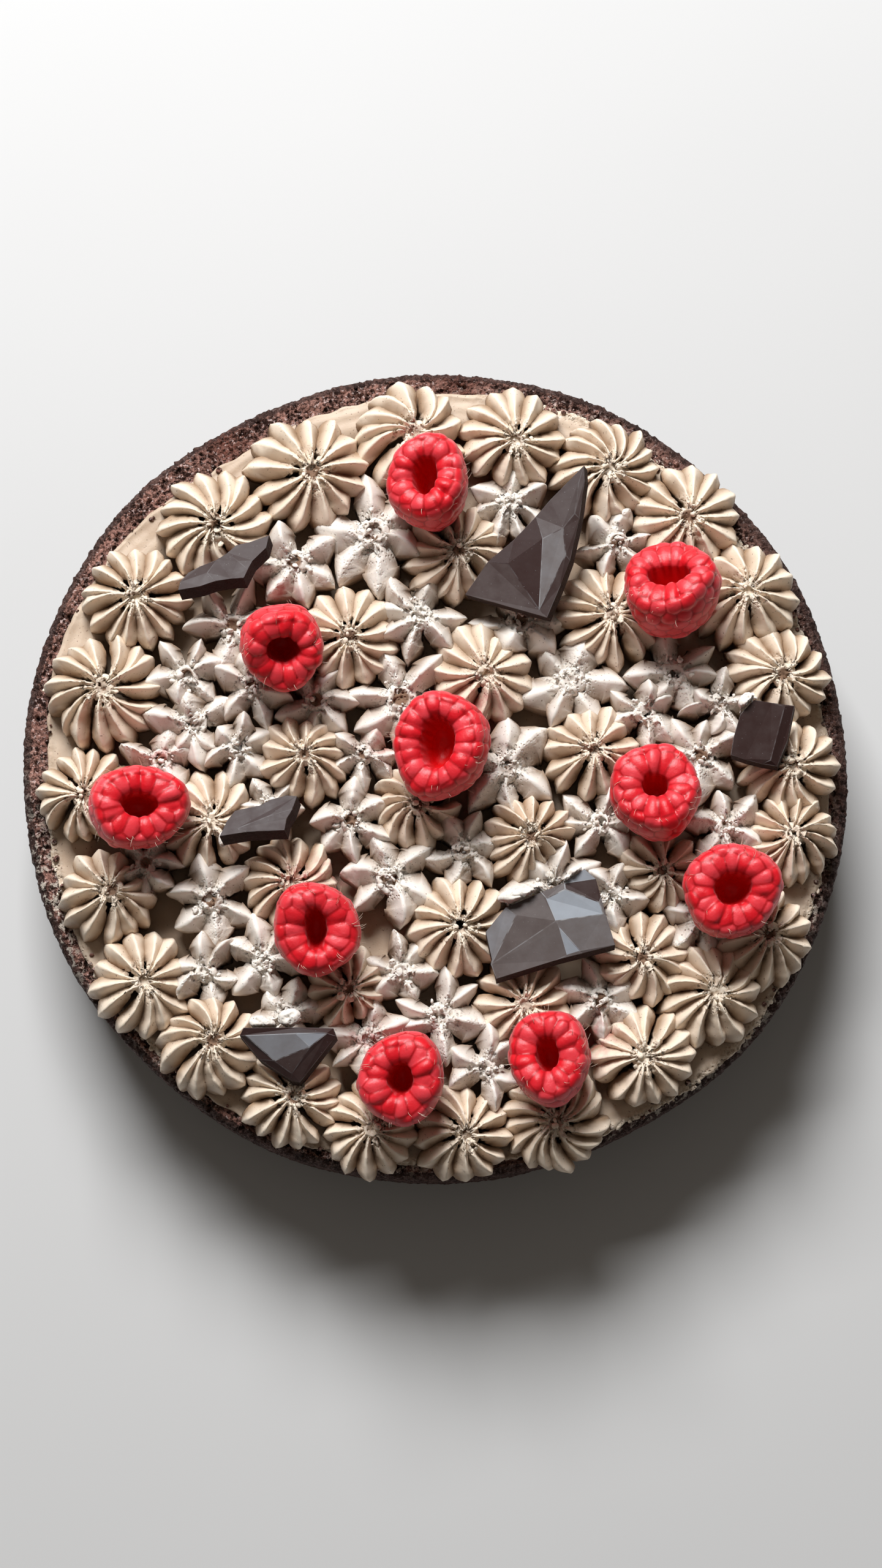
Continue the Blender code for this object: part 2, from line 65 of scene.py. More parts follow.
# Mocha rosettes: x, y, radius, and how far the tip leans in x and y.
ROSETTES = (
    (-53.7, 59.3, 13.1, 1.0, -3.4), (-72.5, 40.2, 12.3, 0.8, -1.6), (-79.3, 16.9, 13.2, 0.4, -0.4),
    (-83.5, -7.5, 10.8, 0.6, -2.0), (-77.5, -33.0, 11.1, 1.9, 1.2), (-69.1, -52.9, 11.7, 1.9, -0.5),
    (-53.3, -68.1, 11.2, 2.3, 1.2), (-34.2, -79.6, 11.1, 1.8, -0.3), (-15.1, -87.0, 10.6, 0.9, -0.4),
    (5.6, -88.0, 10.7, 2.0, -0.7), (27.9, -84.3, 11.7, 0.2, -1.8), (48.0, -69.1, 11.7, 0.9, -2.0),
    (63.5, -56.0, 11.6, 2.1, 0.0), (75.9, -42.9, 11.2, 2.3, 0.9), (84.5, -18.9, 10.3, -0.2, 0.6),
    (83.9, -1.2, 11.3, 1.2, -1.3), (81.2, 21.6, 11.8, 2.1, -2.0), (74.5, 40.2, 12.3, 0.9, 0.2),
    (60.5, 60.9, 12.6, 0.7, -2.6), (40.5, 72.3, 12.3, 2.2, -1.7), (18.6, 80.8, 12.3, 1.4, -3.4),
    (-7.2, 80.5, 12.9, 2.8, -0.7), (-32.3, 71.8, 13.6, 3.2, -2.2),
    (3.6, 51.6, 12.3, 2.4, -1.7), (-20.1, 30.4, 12.1, -0.2, -1.7), (11.3, 22.6, 12.7, 1.1, -2.6),
    (41.6, 35.1, 12.3, 1.0, -0.6), (-30.9, 0.8, 11.1, 0.1, -0.3), (37.5, 2.4, 11.6, 0.3, -0.9),
    (-4.7, -12.2, 10.3, 0.7, 0.9), (21.1, -20.0, 10.8, 2.1, 0.8), (4.6, -39.3, 11.7, 1.6, -1.3),
    (-54.2, -14.3, 11.6, 1.9, -1.6), (-34.6, -29.4, 10.8, 1.0, -0.9), (-20.2, -53.9, 9.8, 0.7, -1.7),
    (20.1, -57.1, 10.9, 1.1, -1.9), (48.0, -46.6, 11.2, 0.5, -1.5), (52.1, -26.2, 9.8, 1.7, -1.5),
)
OUTER_ROSETTES = 23          # the first rows of this table stand along the rim

# Dabs of pale cream that lie over the chocolate: number of the flower, middle, half sizes
# and direction in degrees.
DABS = (
    (14, (20.9, -34.2, 51.2), (6.4, 2.1, 1.6), 186), (14, (32.0, -29.3, 51.4), (2.6, 1.3, 1.0), 40),
    (31, (-39.6, -63.5, 49.9), (3.1, 2.0, 1.2), 170), (31, (-33.4, -62.2, 49.8), (2.7, 2.1, 1.2), 20),
    (9, (73.3, 11.8, 51.4), (2.4, 1.9, 1.3), 60), (35, (-49.3, -20.3, 47.6), (1.9, 1.3, 1.1), 90),
)

# Raspberry juice on the cream: x, y and reach.
STAINS = ((-37.0, 41.0, 4.5), (-31.0, -29.0, 5.0), (-22.5, -28.0, 4.0), (-15.5, -66.5, 5.0),
          (-65.0, 0.0, 4.5), (38.0, -66.0, 5.0), (-12.5, 5.0, 4.5), (11.5, 13.5, 5.5))

# Pale flowers: x, y, radius, and the directions of their petals in degrees from +X.
FLOWERS = (
    (-33.9, 48.1, 11.3, (32, 117, 180, 232, 290, 330)),
    (-15.0, 55.6, 13.8, (51, 101, 175, 239, 278, 333)),
    (-3.7, 34.7, 11.3, (3, 67, 122, 169, 210, 257, 318)),
    (18.2, 63.1, 10.3, (25, 84, 149, 211, 252, 290, 330)),
    (44.0, 53.2, 9.7, (8, 73, 137, 196, 252, 319)),
    (20.4, 33.5, 11.3, (5, 60, 118, 176, 236, 315)),
    (32.6, 19.0, 12.3, (72, 132, 202, 249, 311, 353)),
    (57.1, 20.6, 12.3, (0, 38, 95, 180, 230, 299)),
    (50.1, 11.4, 9.8, (21, 88, 149, 204, 267, 318)),
    (68.1, 13.4, 9.3, (0, 76, 149, 196, 248, 300)),
    (63.3, 0.5, 10.8, (28, 75, 125, 180, 268, 314)),
    (68.7, -16.5, 9.3, (42, 105, 174, 225, 280, 335)),
    (39.1, -15.7, 9.8, (15, 79, 136, 177, 237, 311)),
    (41.9, -32.7, 9.3, (66, 130, 200, 270, 346)),
    (28.1, -31.0, 12.4, (32, 80, 135, 187, 250, 320)),
    (17.3, -2.1, 12.3, (42, 95, 165, 229, 280, 327)),
    (-8.1, 14.6, 13.4, (50, 116, 174, 213, 270, 345)),
    (-28.2, 14.2, 9.8, (1, 60, 120, 201, 255, 315)),
    (-16.9, 1.0, 8.7, (0, 60, 141, 211, 267, 308)),
    (-19.9, -14.8, 10.1, (31, 86, 179, 228, 275, 333)),
    (-10.5, -29.1, 11.9, (42, 107, 173, 213, 279, 339)),
    (6.6, -22.0, 9.8, (8, 66, 126, 194, 244, 308)),
    (-7.9, -50.6, 8.8, (42, 105, 160, 229, 292, 349)),
    (1.4, -61.1, 11.4, (42, 90, 160, 197, 274, 343)),
    (11.8, -73.1, 9.3, (37, 90, 151, 211, 278, 330)),
    (38.6, -57.5, 10.3, (20, 109, 158, 223, 270, 339)),
    (62.4, -38.3, 9.3, (40, 100, 160, 220, 282, 331)),
    (-52.9, -33.9, 10.8, (46, 102, 167, 213, 277, 329)),
    (-68.1, -25.2, 8.8, (2, 60, 130, 200, 260, 321)),
    (-53.6, -50.7, 9.3, (45, 93, 173, 229, 282, 357)),
    (-40.0, -48.3, 10.3, (50, 103, 148, 222, 285, 349)),
    (-34.4, -60.6, 9.3, (6, 77, 129, 189, 240, 300)),
    (-59.4, 20.1, 9.8, (26, 76, 128, 191, 250, 322)),
    (-48.6, 32.4, 11.3, (12, 70, 128, 182, 256, 312)),
    (-47.2, 2.9, 9.3, (26, 77, 137, 207, 265, 314)),
    (-65.1, -0.3, 9.3, (18, 85, 166, 245, 310)),
    (-57.6, 8.7, 11.3, (40, 100, 175, 233, 285, 318)),
    (-43.9, 17.5, 10.3, (40, 100, 158, 232, 292, 340)),
    (-38.9, -11.4, 8.2, (0, 60, 120, 180, 240, 300)),
    (-15.2, -66.3, 10.3, (29, 80, 168, 215, 270, 330)),
)

# Raspberries: x, y, width in x and y, lean of the mouth in x and y, width of the mouth in x and y.
RASPBERRIES = (
    (-1.1, 64.8, 19.4, 22.3, -1.6, 0.4, 6.5, 10.0),
    (56.4, 38.2, 21.9, 22.6, -2.2, 4.0, 10.5, 6.0),
    (-36.3, 26.0, 20.1, 19.6, 1.4, -4.6, 9.0, 7.0),
    (2.0, 1.2, 23.2, 25.4, -1.8, -0.5, 9.0, 13.0),
    (-69.4, -13.3, 22.9, 19.8, 1.8, -0.6, 9.0, 6.5),
    (-27.3, -41.5, 20.3, 21.1, 0.3, -1.3, 5.5, 10.5),
    (-7.3, -75.9, 19.8, 20.9, -0.4, -0.9, 6.5, 8.0),
    (26.6, -71.5, 18.9, 21.1, -1.4, 0.7, 5.8, 8.6),
    (68.8, -32.8, 22.1, 22.7, -0.7, -0.6, 9.0, 8.6),
    (51.6, -10.3, 21.9, 21.4, -0.8, 1.5, 6.8, 6.0),
)


class Slot(Enum):
    """Material slots of the record."""

    SPONGE = "sponge"
    MOCHA = "mocha_cream"
    PALE = "pale_cream"
    BERRY = "raspberry"
    CHOCOLATE = "chocolate"


# --- Nodes ---

class Value:
    """A node's output socket; arithmetic on it adds Math nodes to its tree."""

    def __init__(self, wiring: "Wiring", socket: bpy.types.NodeSocket) -> None:
        """Keep the socket and the tree it belongs to."""
        self.wiring = wiring
        self.socket = socket

    def __add__(self, other: Any) -> "Value":
        """Sum of the two."""
        return self.wiring.math("ADD", self, other)

    def __radd__(self, other: Any) -> "Value":
        """Sum of the two."""
        return self.wiring.math("ADD", other, self)

    def __sub__(self, other: Any) -> "Value":
        """This less the other."""
        return self.wiring.math("SUBTRACT", self, other)

    def __rsub__(self, other: Any) -> "Value":
        """The other less this."""
        return self.wiring.math("SUBTRACT", other, self)

    def __mul__(self, other: Any) -> "Value":
        """Product of the two."""
        return self.wiring.math("MULTIPLY", self, other)

    def __rmul__(self, other: Any) -> "Value":
        """Product of the two."""
        return self.wiring.math("MULTIPLY", other, self)

    def __truediv__(self, other: Any) -> "Value":
        """This over the other."""
        return self.wiring.math("DIVIDE", self, other)

    def __rtruediv__(self, other: Any) -> "Value":
        """The other over this."""
        return self.wiring.math("DIVIDE", other, self)


class Wiring:
    """Adds nodes to one shader or geometry tree and joins their sockets."""

    def __init__(self, tree: bpy.types.NodeTree) -> None:
        """Keep the tree."""
        self.tree = tree

    def node(self, kind: str, settings: Mapping[str, Any] | None = None,
             inputs: Mapping[Any, Any] | None = None) -> bpy.types.Node:
        """Add a node.

        Args:
            kind: The node's type.
            settings: Its own settings, set first.
            inputs: The value or link of each named or numbered socket.

        Returns:
            The node.
        """
        made = self.tree.nodes.new(kind)
        for name, value in (settings or {}).items():
            setattr(made, name, value)
        for key, value in (inputs or {}).items():
            if isinstance(value, Value):
                self.tree.links.new(value.socket, made.inputs[key])
            else:
                made.inputs[key].default_value = value
        return made

    def out(self, kind: str, output: Any, settings: Mapping[str, Any] | None = None,
            inputs: Mapping[Any, Any] | None = None) -> Value:
        """Add a node and return one of its outputs."""
        return Value(self, self.node(kind, settings, inputs).outputs[output])

    def math(self, operation: str, *values: Any) -> Value:
        """Add a Math node on one or more values."""
        return self.out("ShaderNodeMath", 0, {"operation": operation}, dict(enumerate(values)))

    def vector_math(self, operation: str, first: Any, second: Any = None,
                    scale: Any = None) -> Value:
        """Add a Vector Math node.

        Args:
            operation: Its operation.
            first: The first vector.
            second: The second vector, if any.
            scale: The factor of a SCALE.

        Returns:
            The resulting vector.
        """
        inputs = {0: first}
        if second is not None:
            inputs[1] = second
        if scale is not None:
            inputs["Scale"] = scale
        return self.out("ShaderNodeVectorMath", 0, {"operation": operation}, inputs)

    def ease(self, value: Any, low: float, high: float, bottom: float = 0.0,
             top: float = 1.0) -> Value:
        """Map a value smoothly from one range to another, held at both ends."""
        return self.out("ShaderNodeMapRange", 0, {"interpolation_type": "SMOOTHSTEP"}, {
            "Value": value, "From Min": low, "From Max": high, "To Min": bottom, "To Max": top})

    def mix(self, share: Any, first: Any, second: Any) -> Value:
        """Mix two colours; the share is that of the second."""
        first, second = ((*c, 1.0) if isinstance(c, tuple) else c for c in (first, second))
        return self.out("ShaderNodeMix", 2, {"data_type": "RGBA"}, {0: share, 6: first, 7: second})

    def noise(self, place: Any, size: float, detail: float = 2.0, roughness: float = 0.5) -> Value:
        """Noise whose features are about so many millimetres across."""
        return self.out("ShaderNodeTexNoise", 0, {}, {
            "Vector": place, "Scale": 1.0 / (size * MM), "Detail": detail, "Roughness": roughness})

    def cells(self, place: Any, size: float) -> Value:
        """Distance inside cells of about so many millimetres."""
        return self.out("ShaderNodeTexVoronoi", 0, {}, {"Vector": place, "Scale": 1.0 / (size * MM)})

    def mark(self, name: str) -> Value:
        """A number carried by the mesh, in a shader."""
        return self.out("ShaderNodeAttribute", "Fac", {"attribute_name": name})

    def field(self, name: str, kind: str = "FLOAT") -> Value:
        """A number or vector carried by the mesh, in a geometry tree."""
        return self.out("GeometryNodeInputNamedAttribute", 0, {"data_type": kind}, {"Name": name})

    def parts(self, vector: Value) -> tuple[Value, Value, Value]:
        """The three parts of a vector."""
        split = self.node("ShaderNodeSeparateXYZ", {}, {0: vector})
        return tuple(Value(self, split.outputs[i]) for i in range(3))

    def vector(self, x: Any, y: Any, z: Any) -> Value:
        """A vector from its three parts."""
        return self.out("ShaderNodeCombineXYZ", 0, {}, {0: x, 1: y, 2: z})


# --- Meshes ---

@dataclass
class Shape:
    """Points and faces on their way to becoming a piece."""

    points: np.ndarray                       # metres, one row a point
    corners: np.ndarray                      # point of each face corner
    sizes: np.ndarray                        # corners of each face
    marks: dict[str, np.ndarray] = field(default_factory=dict)
    paints: np.ndarray | None = None         # number of the finish on each face

    @classmethod
    def of_faces(cls, points: Any, faces: Iterable[Sequence[int]],
                 marks: Mapping[str, Any] | None = None) -> "Shape":
        """Make a shape.

        Args:
            points: Points in millimetres.
            faces: The point numbers of each face.
            marks: A number for each point, by name.

        Returns:
            The shape.
        """
        faces = list(faces)
        return cls(np.asarray(points, float).reshape(-1, 3) * MM,
                   np.array([c for face in faces for c in face], int),
                   np.array([len(face) for face in faces], int),
                   {name: np.asarray(value, float) for name, value in (marks or {}).items()})

    @classmethod
    def of_mesh(cls, mesh: bpy.types.Mesh, names: Iterable[str]) -> "Shape":
        """Read a mesh.

        Args:
            mesh: The mesh.
            names: The marks to read from its points.

        Returns:
            The shape, with the marks that it has.
        """
        points = np.empty(3 * len(mesh.vertices))
        corners = np.empty(len(mesh.loops), int)
        sizes = np.empty(len(mesh.polygons), int)
        mesh.vertices.foreach_get("co", points)
        mesh.loops.foreach_get("vertex_index", corners)
        mesh.polygons.foreach_get("loop_total", sizes)
        marks = {}
        for name in names:
            layer = mesh.attributes.get(name)
            if layer is not None and layer.domain == "POINT":
                marks[name] = np.empty(len(mesh.vertices))
                layer.data.foreach_get("value", marks[name])
        return cls(points.reshape(-1, 3), corners, sizes, marks)

    @staticmethod
    def joined(shapes: Sequence["Shape"]) -> "Shape":
        """Put several shapes together.

        Args:
            shapes: The shapes.

        Returns:
            One shape; a mark that one of them lacks is 0 on it.
        """
        names = sorted({name for shape in shapes for name in shape.marks})
        starts = np.cumsum([0] + [len(shape.points) for shape in shapes[:-1]])
        return Shape(
            np.vstack([shape.points for shape in shapes]),
            np.concatenate([shape.corners + start for shape, start in zip(shapes, starts)]),
            np.concatenate([shape.sizes for shape in shapes]),
            {name: np.concatenate([shape.marks.get(name, np.zeros(len(shape.points)))
                                   for shape in shapes]) for name in names},
            np.concatenate([np.zeros(len(shape.sizes), int) if shape.paints is None
                            else shape.paints for shape in shapes]))

    def keep(self, chosen: np.ndarray) -> "Shape":
        """Keep a part.

        Args:
            chosen: Whether each point stays; a face's points all stay or all go.

        Returns:
            The part.
        """
        owner = np.repeat(np.arange(len(self.sizes)), self.sizes)
        first = self.corners[np.cumsum(self.sizes) - self.sizes]
        faces = chosen[first]
        number = np.cumsum(chosen) - 1
        return Shape(self.points[chosen], number[self.corners[faces[owner]]], self.sizes[faces],
                     {name: value[chosen] for name, value in self.marks.items()},
                     None if self.paints is None else self.paints[faces])

    def moved(self, matrix: Matrix) -> "Shape":
        """The shape placed by a matrix in metres."""
        turn = np.array(matrix)
        return replace(self, points=self.points @ turn[:3, :3].T + turn[:3, 3])

    def painted(self, number: int) -> "Shape":
        """The shape with every face wearing the finish of that number."""
        return replace(self, paints=np.full(len(self.sizes), number))

    def to_object(self, name: str, finishes: Sequence[Material],
                  smooth: bool = True) -> bpy.types.Object:
        """Make the piece, standing at the origin.

        Args:
            name: The piece's name.
            finishes: The finishes that its faces wear.
            smooth: Whether faces are shaded smooth.

        Returns:
            The piece, linked to the scene.
        """
        mesh = bpy.data.meshes.new(name)
        mesh.vertices.add(len(self.points))
        mesh.vertices.foreach_set("co", self.points.ravel())
        mesh.loops.add(len(self.corners))
        mesh.loops.foreach_set("vertex_index", self.corners)
        mesh.polygons.add(len(self.sizes))
        mesh.polygons.foreach_set("loop_start", np.cumsum(self.sizes) - self.sizes)
        if self.paints is not None:
            mesh.polygons.foreach_set("material_index", self.paints)
        for mark, value in self.marks.items():
            mesh.attributes.new(mark, "FLOAT", "POINT").data.foreach_set("value", value)
        mesh.update(calc_edges=True)
        mesh.validate()
        mesh.polygons.foreach_set("use_smooth", np.full(len(mesh.polygons), smooth))
        for finish in finishes:
            mesh.materials.append(finish)
        piece = bpy.data.objects.new(name, mesh)
        bpy.context.collection.objects.link(piece)
        return piece


def grid_faces(rows: int, count: int) -> Faces:
    """Quads between closed rows of points, each row after the one before it."""
    return [(r * count + i, r * count + (i + 1) % count, (r + 1) * count + (i + 1) % count,
             (r + 1) * count + i) for r in range(rows - 1) for i in range(count)]


def tube_faces(rows: int, count: int) -> Faces:
    """Faces of a tube that two last points close, the first at its first row.

    Args:
        rows: Closed rows of points.
        count: Points in each.

    Returns:
        The quads, the fan at the first row and the fan at the last.
    """
    first, last, corner = rows * count, rows * count + 1, (rows - 1) * count
    faces = grid_faces(rows, count)
    faces += [(first, (i + 1) % count, i) for i in range(count)]
    return faces + [(last, corner + i, corner + (i + 1) % count) for i in range(count)]


def turned(rings: Iterable[tuple[np.ndarray, Any]], angles: np.ndarray,
           *ends: float) -> np.ndarray:
    """Points of rings given by radius and height, then those on the axis at the ends' heights."""
    rows = [np.column_stack((r * np.cos(angles), r * np.sin(angles), z + 0.0 * r)) for r, z in rings]
    return np.vstack(rows + [[(0.0, 0.0, z)] for z in ends])


def ball(around: int, levels: int) -> tuple[np.ndarray, Faces]:
    """Unit ball with merged poles.

    Args:
        around: Points round it.
        levels: Bands from pole to pole.

    Returns:
        Its points and its faces, which point outwards.
    """
    rows = []
    for level in range(1, levels):
        polar = pi - pi * level / levels
        for i in range(around):
            turn = TURN * (i + 0.5 * (level % 2)) / around
            rows.append((sin(polar) * cos(turn), sin(polar) * sin(turn), cos(polar)))
    rows += [(0.0, 0.0, -1.0), (0.0, 0.0, 1.0)]
    return np.array(rows), tube_faces(levels - 1, around)


def hexagon_disc(rings: int) -> tuple[np.ndarray, Faces]:
    """Flat unit disc of even triangles, from its centre outwards.

    Args:
        rings: Rings round the centre; ring k has 6 k points.

    Returns:
        Its points and its faces, which point up.
    """
    points = [(0.0, 0.0, 0.0)]
    starts = [0]
    for ring in range(1, rings + 1):
        starts.append(len(points))
        count = 6 * ring
        points += [(ring / rings * cos(TURN * i / count),
                    ring / rings * sin(TURN * i / count), 0.0) for i in range(count)]
    faces = []
    for ring in range(1, rings + 1):
        outer, inner = starts[ring], starts[ring - 1]
        count, within = 6 * ring, max(6 * (ring - 1), 1)
        for side in range(6):
            for step in range(ring):
                a = outer + (side * ring + step) % count
                b = outer + (side * ring + step + 1) % count
                c = inner + (side * (ring - 1) + step) % within
                faces.append((a, b, c))
                if step < ring - 1:
                    d = inner + (side * (ring - 1) + step + 1) % within
                    faces.append((b, d, c))
    return np.array(points), faces


# --- Geometry trees ---

class Tree:
    """A Geometry Nodes tree with named inputs, and the way to run it on points."""

    def __init__(self, name: str, inputs: Sequence[tuple[str, str]]) -> None:
        """Start the tree.

        Args:
            name: Its name.
            inputs: Name and kind of each input after the geometry.
        """
        self.tree = bpy.data.node_groups.new(name, "GeometryNodeTree")
        face = self.tree.interface
        face.new_socket("Geometry", in_out="INPUT", socket_type="NodeSocketGeometry")
        for label, kind in inputs:
            face.new_socket(label, in_out="INPUT", socket_type=f"NodeSocket{kind}")
        face.new_socket("Geometry", in_out="OUTPUT", socket_type="NodeSocketGeometry")
        self.wiring = Wiring(self.tree)
        self.entry = self.wiring.node("NodeGroupInput")

    def given(self, name: str) -> Value:
        """One of the tree's inputs."""
        return Value(self.wiring, self.entry.outputs[name])

    def place(self) -> Value:
        """Place of each point, shifted by the input Seed."""
        at, seed = self.wiring.out("GeometryNodeInputPosition", 0), self.given("Seed")
        return self.wiring.vector_math("ADD", at, self.wiring.vector(seed, 0.0, 0.0))

    def copies(self, name: str, inputs: Mapping[str, Any] | None = None) -> Value:
        """Set the object of an input on every point.

        Args:
            name: The input.
            inputs: More inputs of the copies, such as their turn.

        Returns:
            The copies as real geometry.
        """
        w = self.wiring
        shape = w.out("GeometryNodeObjectInfo", "Geometry", {}, {"Object": self.given(name)})
        given = {"Points": self.given("Geometry"), "Instance": shape, **(inputs or {})}
        copies = w.out("GeometryNodeInstanceOnPoints", 0, {}, given)
        return w.out("GeometryNodeRealizeInstances", 0, {}, {0: copies})

    def push(self, geometry: Value, height: Value) -> Value:
        """Push a surface out along its normal.

        Args:
            geometry: The surface.
            height: How far, in metres.

        Returns:
            The pushed surface.
        """
        w = self.wiring
        shift = w.vector_math("SCALE", w.out("GeometryNodeInputNormal", 0), scale=height)
        return w.out("GeometryNodeSetPosition", 0, {}, {"Geometry": geometry, "Offset": shift})

    def uneven(self, geometry: Value) -> Value:
        """Push a surface in and out by noise, from the inputs Unevenness, Grain and Seed.

        Args:
            geometry: The surface.

        Returns:
            The uneven surface.
        """
        lumps = self.wiring.out("ShaderNodeTexNoise", 0, {}, {
            "Vector": self.place(), "Scale": 1.0 / self.given("Grain"), "Detail": 2.0})
        return self.push(geometry, (lumps - 0.5) * 2.0 * self.given("Unevenness"))

    def finish(self, geometry: Value) -> None:
        """End the tree: real geometry that wears the material given.

        Args:
            geometry: What the tree has made.
        """
        w = self.wiring
        real = w.out("GeometryNodeRealizeInstances", 0, {}, {0: geometry})
        given = {"Geometry": real, "Material": self.given("Material")}
        w.node("NodeGroupOutput", {}, {0: w.out("GeometryNodeSetMaterial", 0, {}, given)})

    def run(self, start: Shape, values: Mapping[str, Any], marks: Iterable[str],
            vectors: Mapping[str, np.ndarray] | None = None) -> Shape:
        """Run the tree.

        Args:
            start: The points or the surface that it works on.
            values: The value of each named input; a Shape becomes an object for the run.
            marks: The marks to read back from the result.
            vectors: Vectors carried by the points.

        Returns:
            The result as a plain shape.
        """
        carrier = start.to_object("carrier", [])
        for name, rows in (vectors or {}).items():
            layer = carrier.data.attributes.new(name, "FLOAT_VECTOR", "POINT")
            layer.data.foreach_set("vector", np.asarray(rows, float).ravel())
        helpers = [carrier]
        modifier = carrier.modifiers.new("tree", "NODES")
        modifier.node_group = self.tree
        named = {item.name: item.identifier for item in self.tree.interface.items_tree
                 if item.in_out == "INPUT"}
        for name, value in values.items():
            if isinstance(value, Shape):
                helper = value.to_object("helper", [])
                unit = helper.data.attributes.new("unit", "FLOAT_VECTOR", "POINT")
                unit.data.foreach_set("vector", value.points.ravel())
                helpers.append(helper)
                value = helper
            modifier[named[name]] = value
        graph = bpy.context.evaluated_depsgraph_get()
        mesh = bpy.data.meshes.new_from_object(carrier.evaluated_get(graph))
        carrier.modifiers.remove(modifier)
        result = Shape.of_mesh(mesh, marks)
        bpy.data.meshes.remove(mesh)
        for helper in helpers:
            data = helper.data
            bpy.data.objects.remove(helper, do_unlink=True)
            bpy.data.meshes.remove(data)
        return result


class StrokeTree(Tree):
    """Pulls one stroke of the piping tip into every rib or petal round its heart.

    A point carries heart and lean as vectors, and turn, reach, girth, tall, swirl, bend, tilt and
    lift as numbers; reach, girth and tall are shares of the stroke's own sizes.
    """

    def __init__(self) -> None:
        """Build the tree."""
        super().__init__("piped_strokes", (
            ("Stroke", "Object"), ("Radius", "Float"), ("Height", "Float"),
            ("Unevenness", "Float"), ("Grain", "Float"), ("Seed", "Float"),
            ("Material", "Material")))
        w = self.wiring
        out_from, across, up = w.parts(w.field("unit", "FLOAT_VECTOR"))
        heart_x, heart_y, heart_z = w.parts(w.field("heart", "FLOAT_VECTOR"))
        lean_x, lean_y, _ = w.parts(w.field("lean", "FLOAT_VECTOR"))
        share = out_from / self.given("Radius")
        climb = up / self.given("Height")
        angle = w.field("turn") + w.field("swirl") * (1.0 - share)
        radial = out_from * w.field("reach")
        side = (across * w.field("girth") + w.field("bend") * w.math("SINE", share * pi)
                + w.field("tilt") * climb * share)
        cosine, sine = w.math("COSINE", angle), w.math("SINE", angle)
        x = heart_x + radial * cosine - side * sine + lean_x * climb
        y = heart_y + radial * sine + side * cosine + lean_y * climb
        z = heart_z + up * w.field("tall") + w.field("lift") * share
        placed = w.out("GeometryNodeSetPosition", 0, {},
                       {"Geometry": self.copies("Stroke"), "Position": w.vector(x, y, z)})
        self.finish(self.uneven(placed))


class ScatterTree(Tree):
    """Sets a shape on every point, turned by its spin and stretched by its size."""

    def __init__(self) -> None:
        """Build the tree."""
        super().__init__("set_on_points", (
            ("Shape", "Object"), ("Unevenness", "Float"), ("Grain", "Float"), ("Seed", "Float"),
            ("Material", "Material")))
        w = self.wiring
        turn = w.out("FunctionNodeEulerToRotation", 0, {}, {0: w.field("spin", "FLOAT_VECTOR")})
        size = w.field("size", "FLOAT_VECTOR")
        self.finish(self.uneven(self.copies("Shape", {"Rotation": turn, "Scale": size})))


class ReliefTree(Tree):
    """Raises lumps and sinks pores into a surface, as far as its mark rough allows."""

    def __init__(self) -> None:
        """Build the tree."""
        super().__init__("open_relief", (
            ("Lump Size", "Float"), ("Lump Height", "Float"), ("Pore Size", "Float"),
            ("Pore Depth", "Float"), ("Pore Reach", "Float"), ("Seed", "Float"),
            ("Material", "Material")))
        w = self.wiring
        place, fine = self.place(), 1.0 / self.given("Lump Size")
        lumps = w.out("ShaderNodeTexNoise", 0, {}, {
            "Vector": place, "Scale": fine, "Detail": 3.0, "Roughness": 0.6})
        bend = w.out("ShaderNodeTexNoise", 1, {}, {"Vector": place, "Scale": fine})
        bent = w.vector_math("ADD", place, w.vector_math(
            "SCALE", bend, scale=self.given("Pore Size") * 0.6))
        cell = w.node("ShaderNodeTexVoronoi", {},
                      {"Vector": bent, "Scale": 1.0 / self.given("Pore Size")})
        chance = w.parts(Value(w, cell.outputs["Color"]))[0]
        reach = (0.22 + chance) * self.given("Pore Reach")
        pit = w.ease(Value(w, cell.outputs["Distance"]) / reach, 0.08, 0.52, 1.0, 0.0)
        height = (lumps - 0.5) * 2.0 * self.given("Lump Height") - pit * self.given("Pore Depth")
        pushed = self.push(self.given("Geometry"), height * w.field("rough"))
        # The mark pit, made from the pores and the mark deep, tells the finishes where to paint
        # shade.
        self.finish(w.out("GeometryNodeStoreNamedAttribute", 0, {"data_type": "FLOAT"}, {
            "Geometry": pushed, "Name": "pit",
            "Value": pit * w.field("rough") + w.field("deep")}))

    def carve(self, shape: Shape, lumps: Pair, pores: Pair, reach: float, seed: float,
              marks: Iterable[str]) -> Shape:
        """Run the tree on a shape, whose mark rough says how strongly it works.

        Args:
            shape: The shape.
            lumps: Size and height of the lumps, in millimetres.
            pores: Size and depth of the pores, in millimetres.
            reach: How wide the pores open, where 1 is usual.
            seed: Shift of the pattern.
            marks: The marks to read back.

        Returns:
            The carved shape.
        """
        return self.run(shape, {
            "Lump Size": lumps[0] * MM, "Lump Height": lumps[1] * MM,
            "Pore Size": pores[0] * MM, "Pore Depth": pores[1] * MM,
            "Pore Reach": reach, "Seed": seed}, marks)


@dataclass(frozen=True)
class Trees:
    """The geometry trees that the pieces share."""

    strokes: StrokeTree
    scatter: ScatterTree
    relief: ReliefTree


# --- Finishes ---

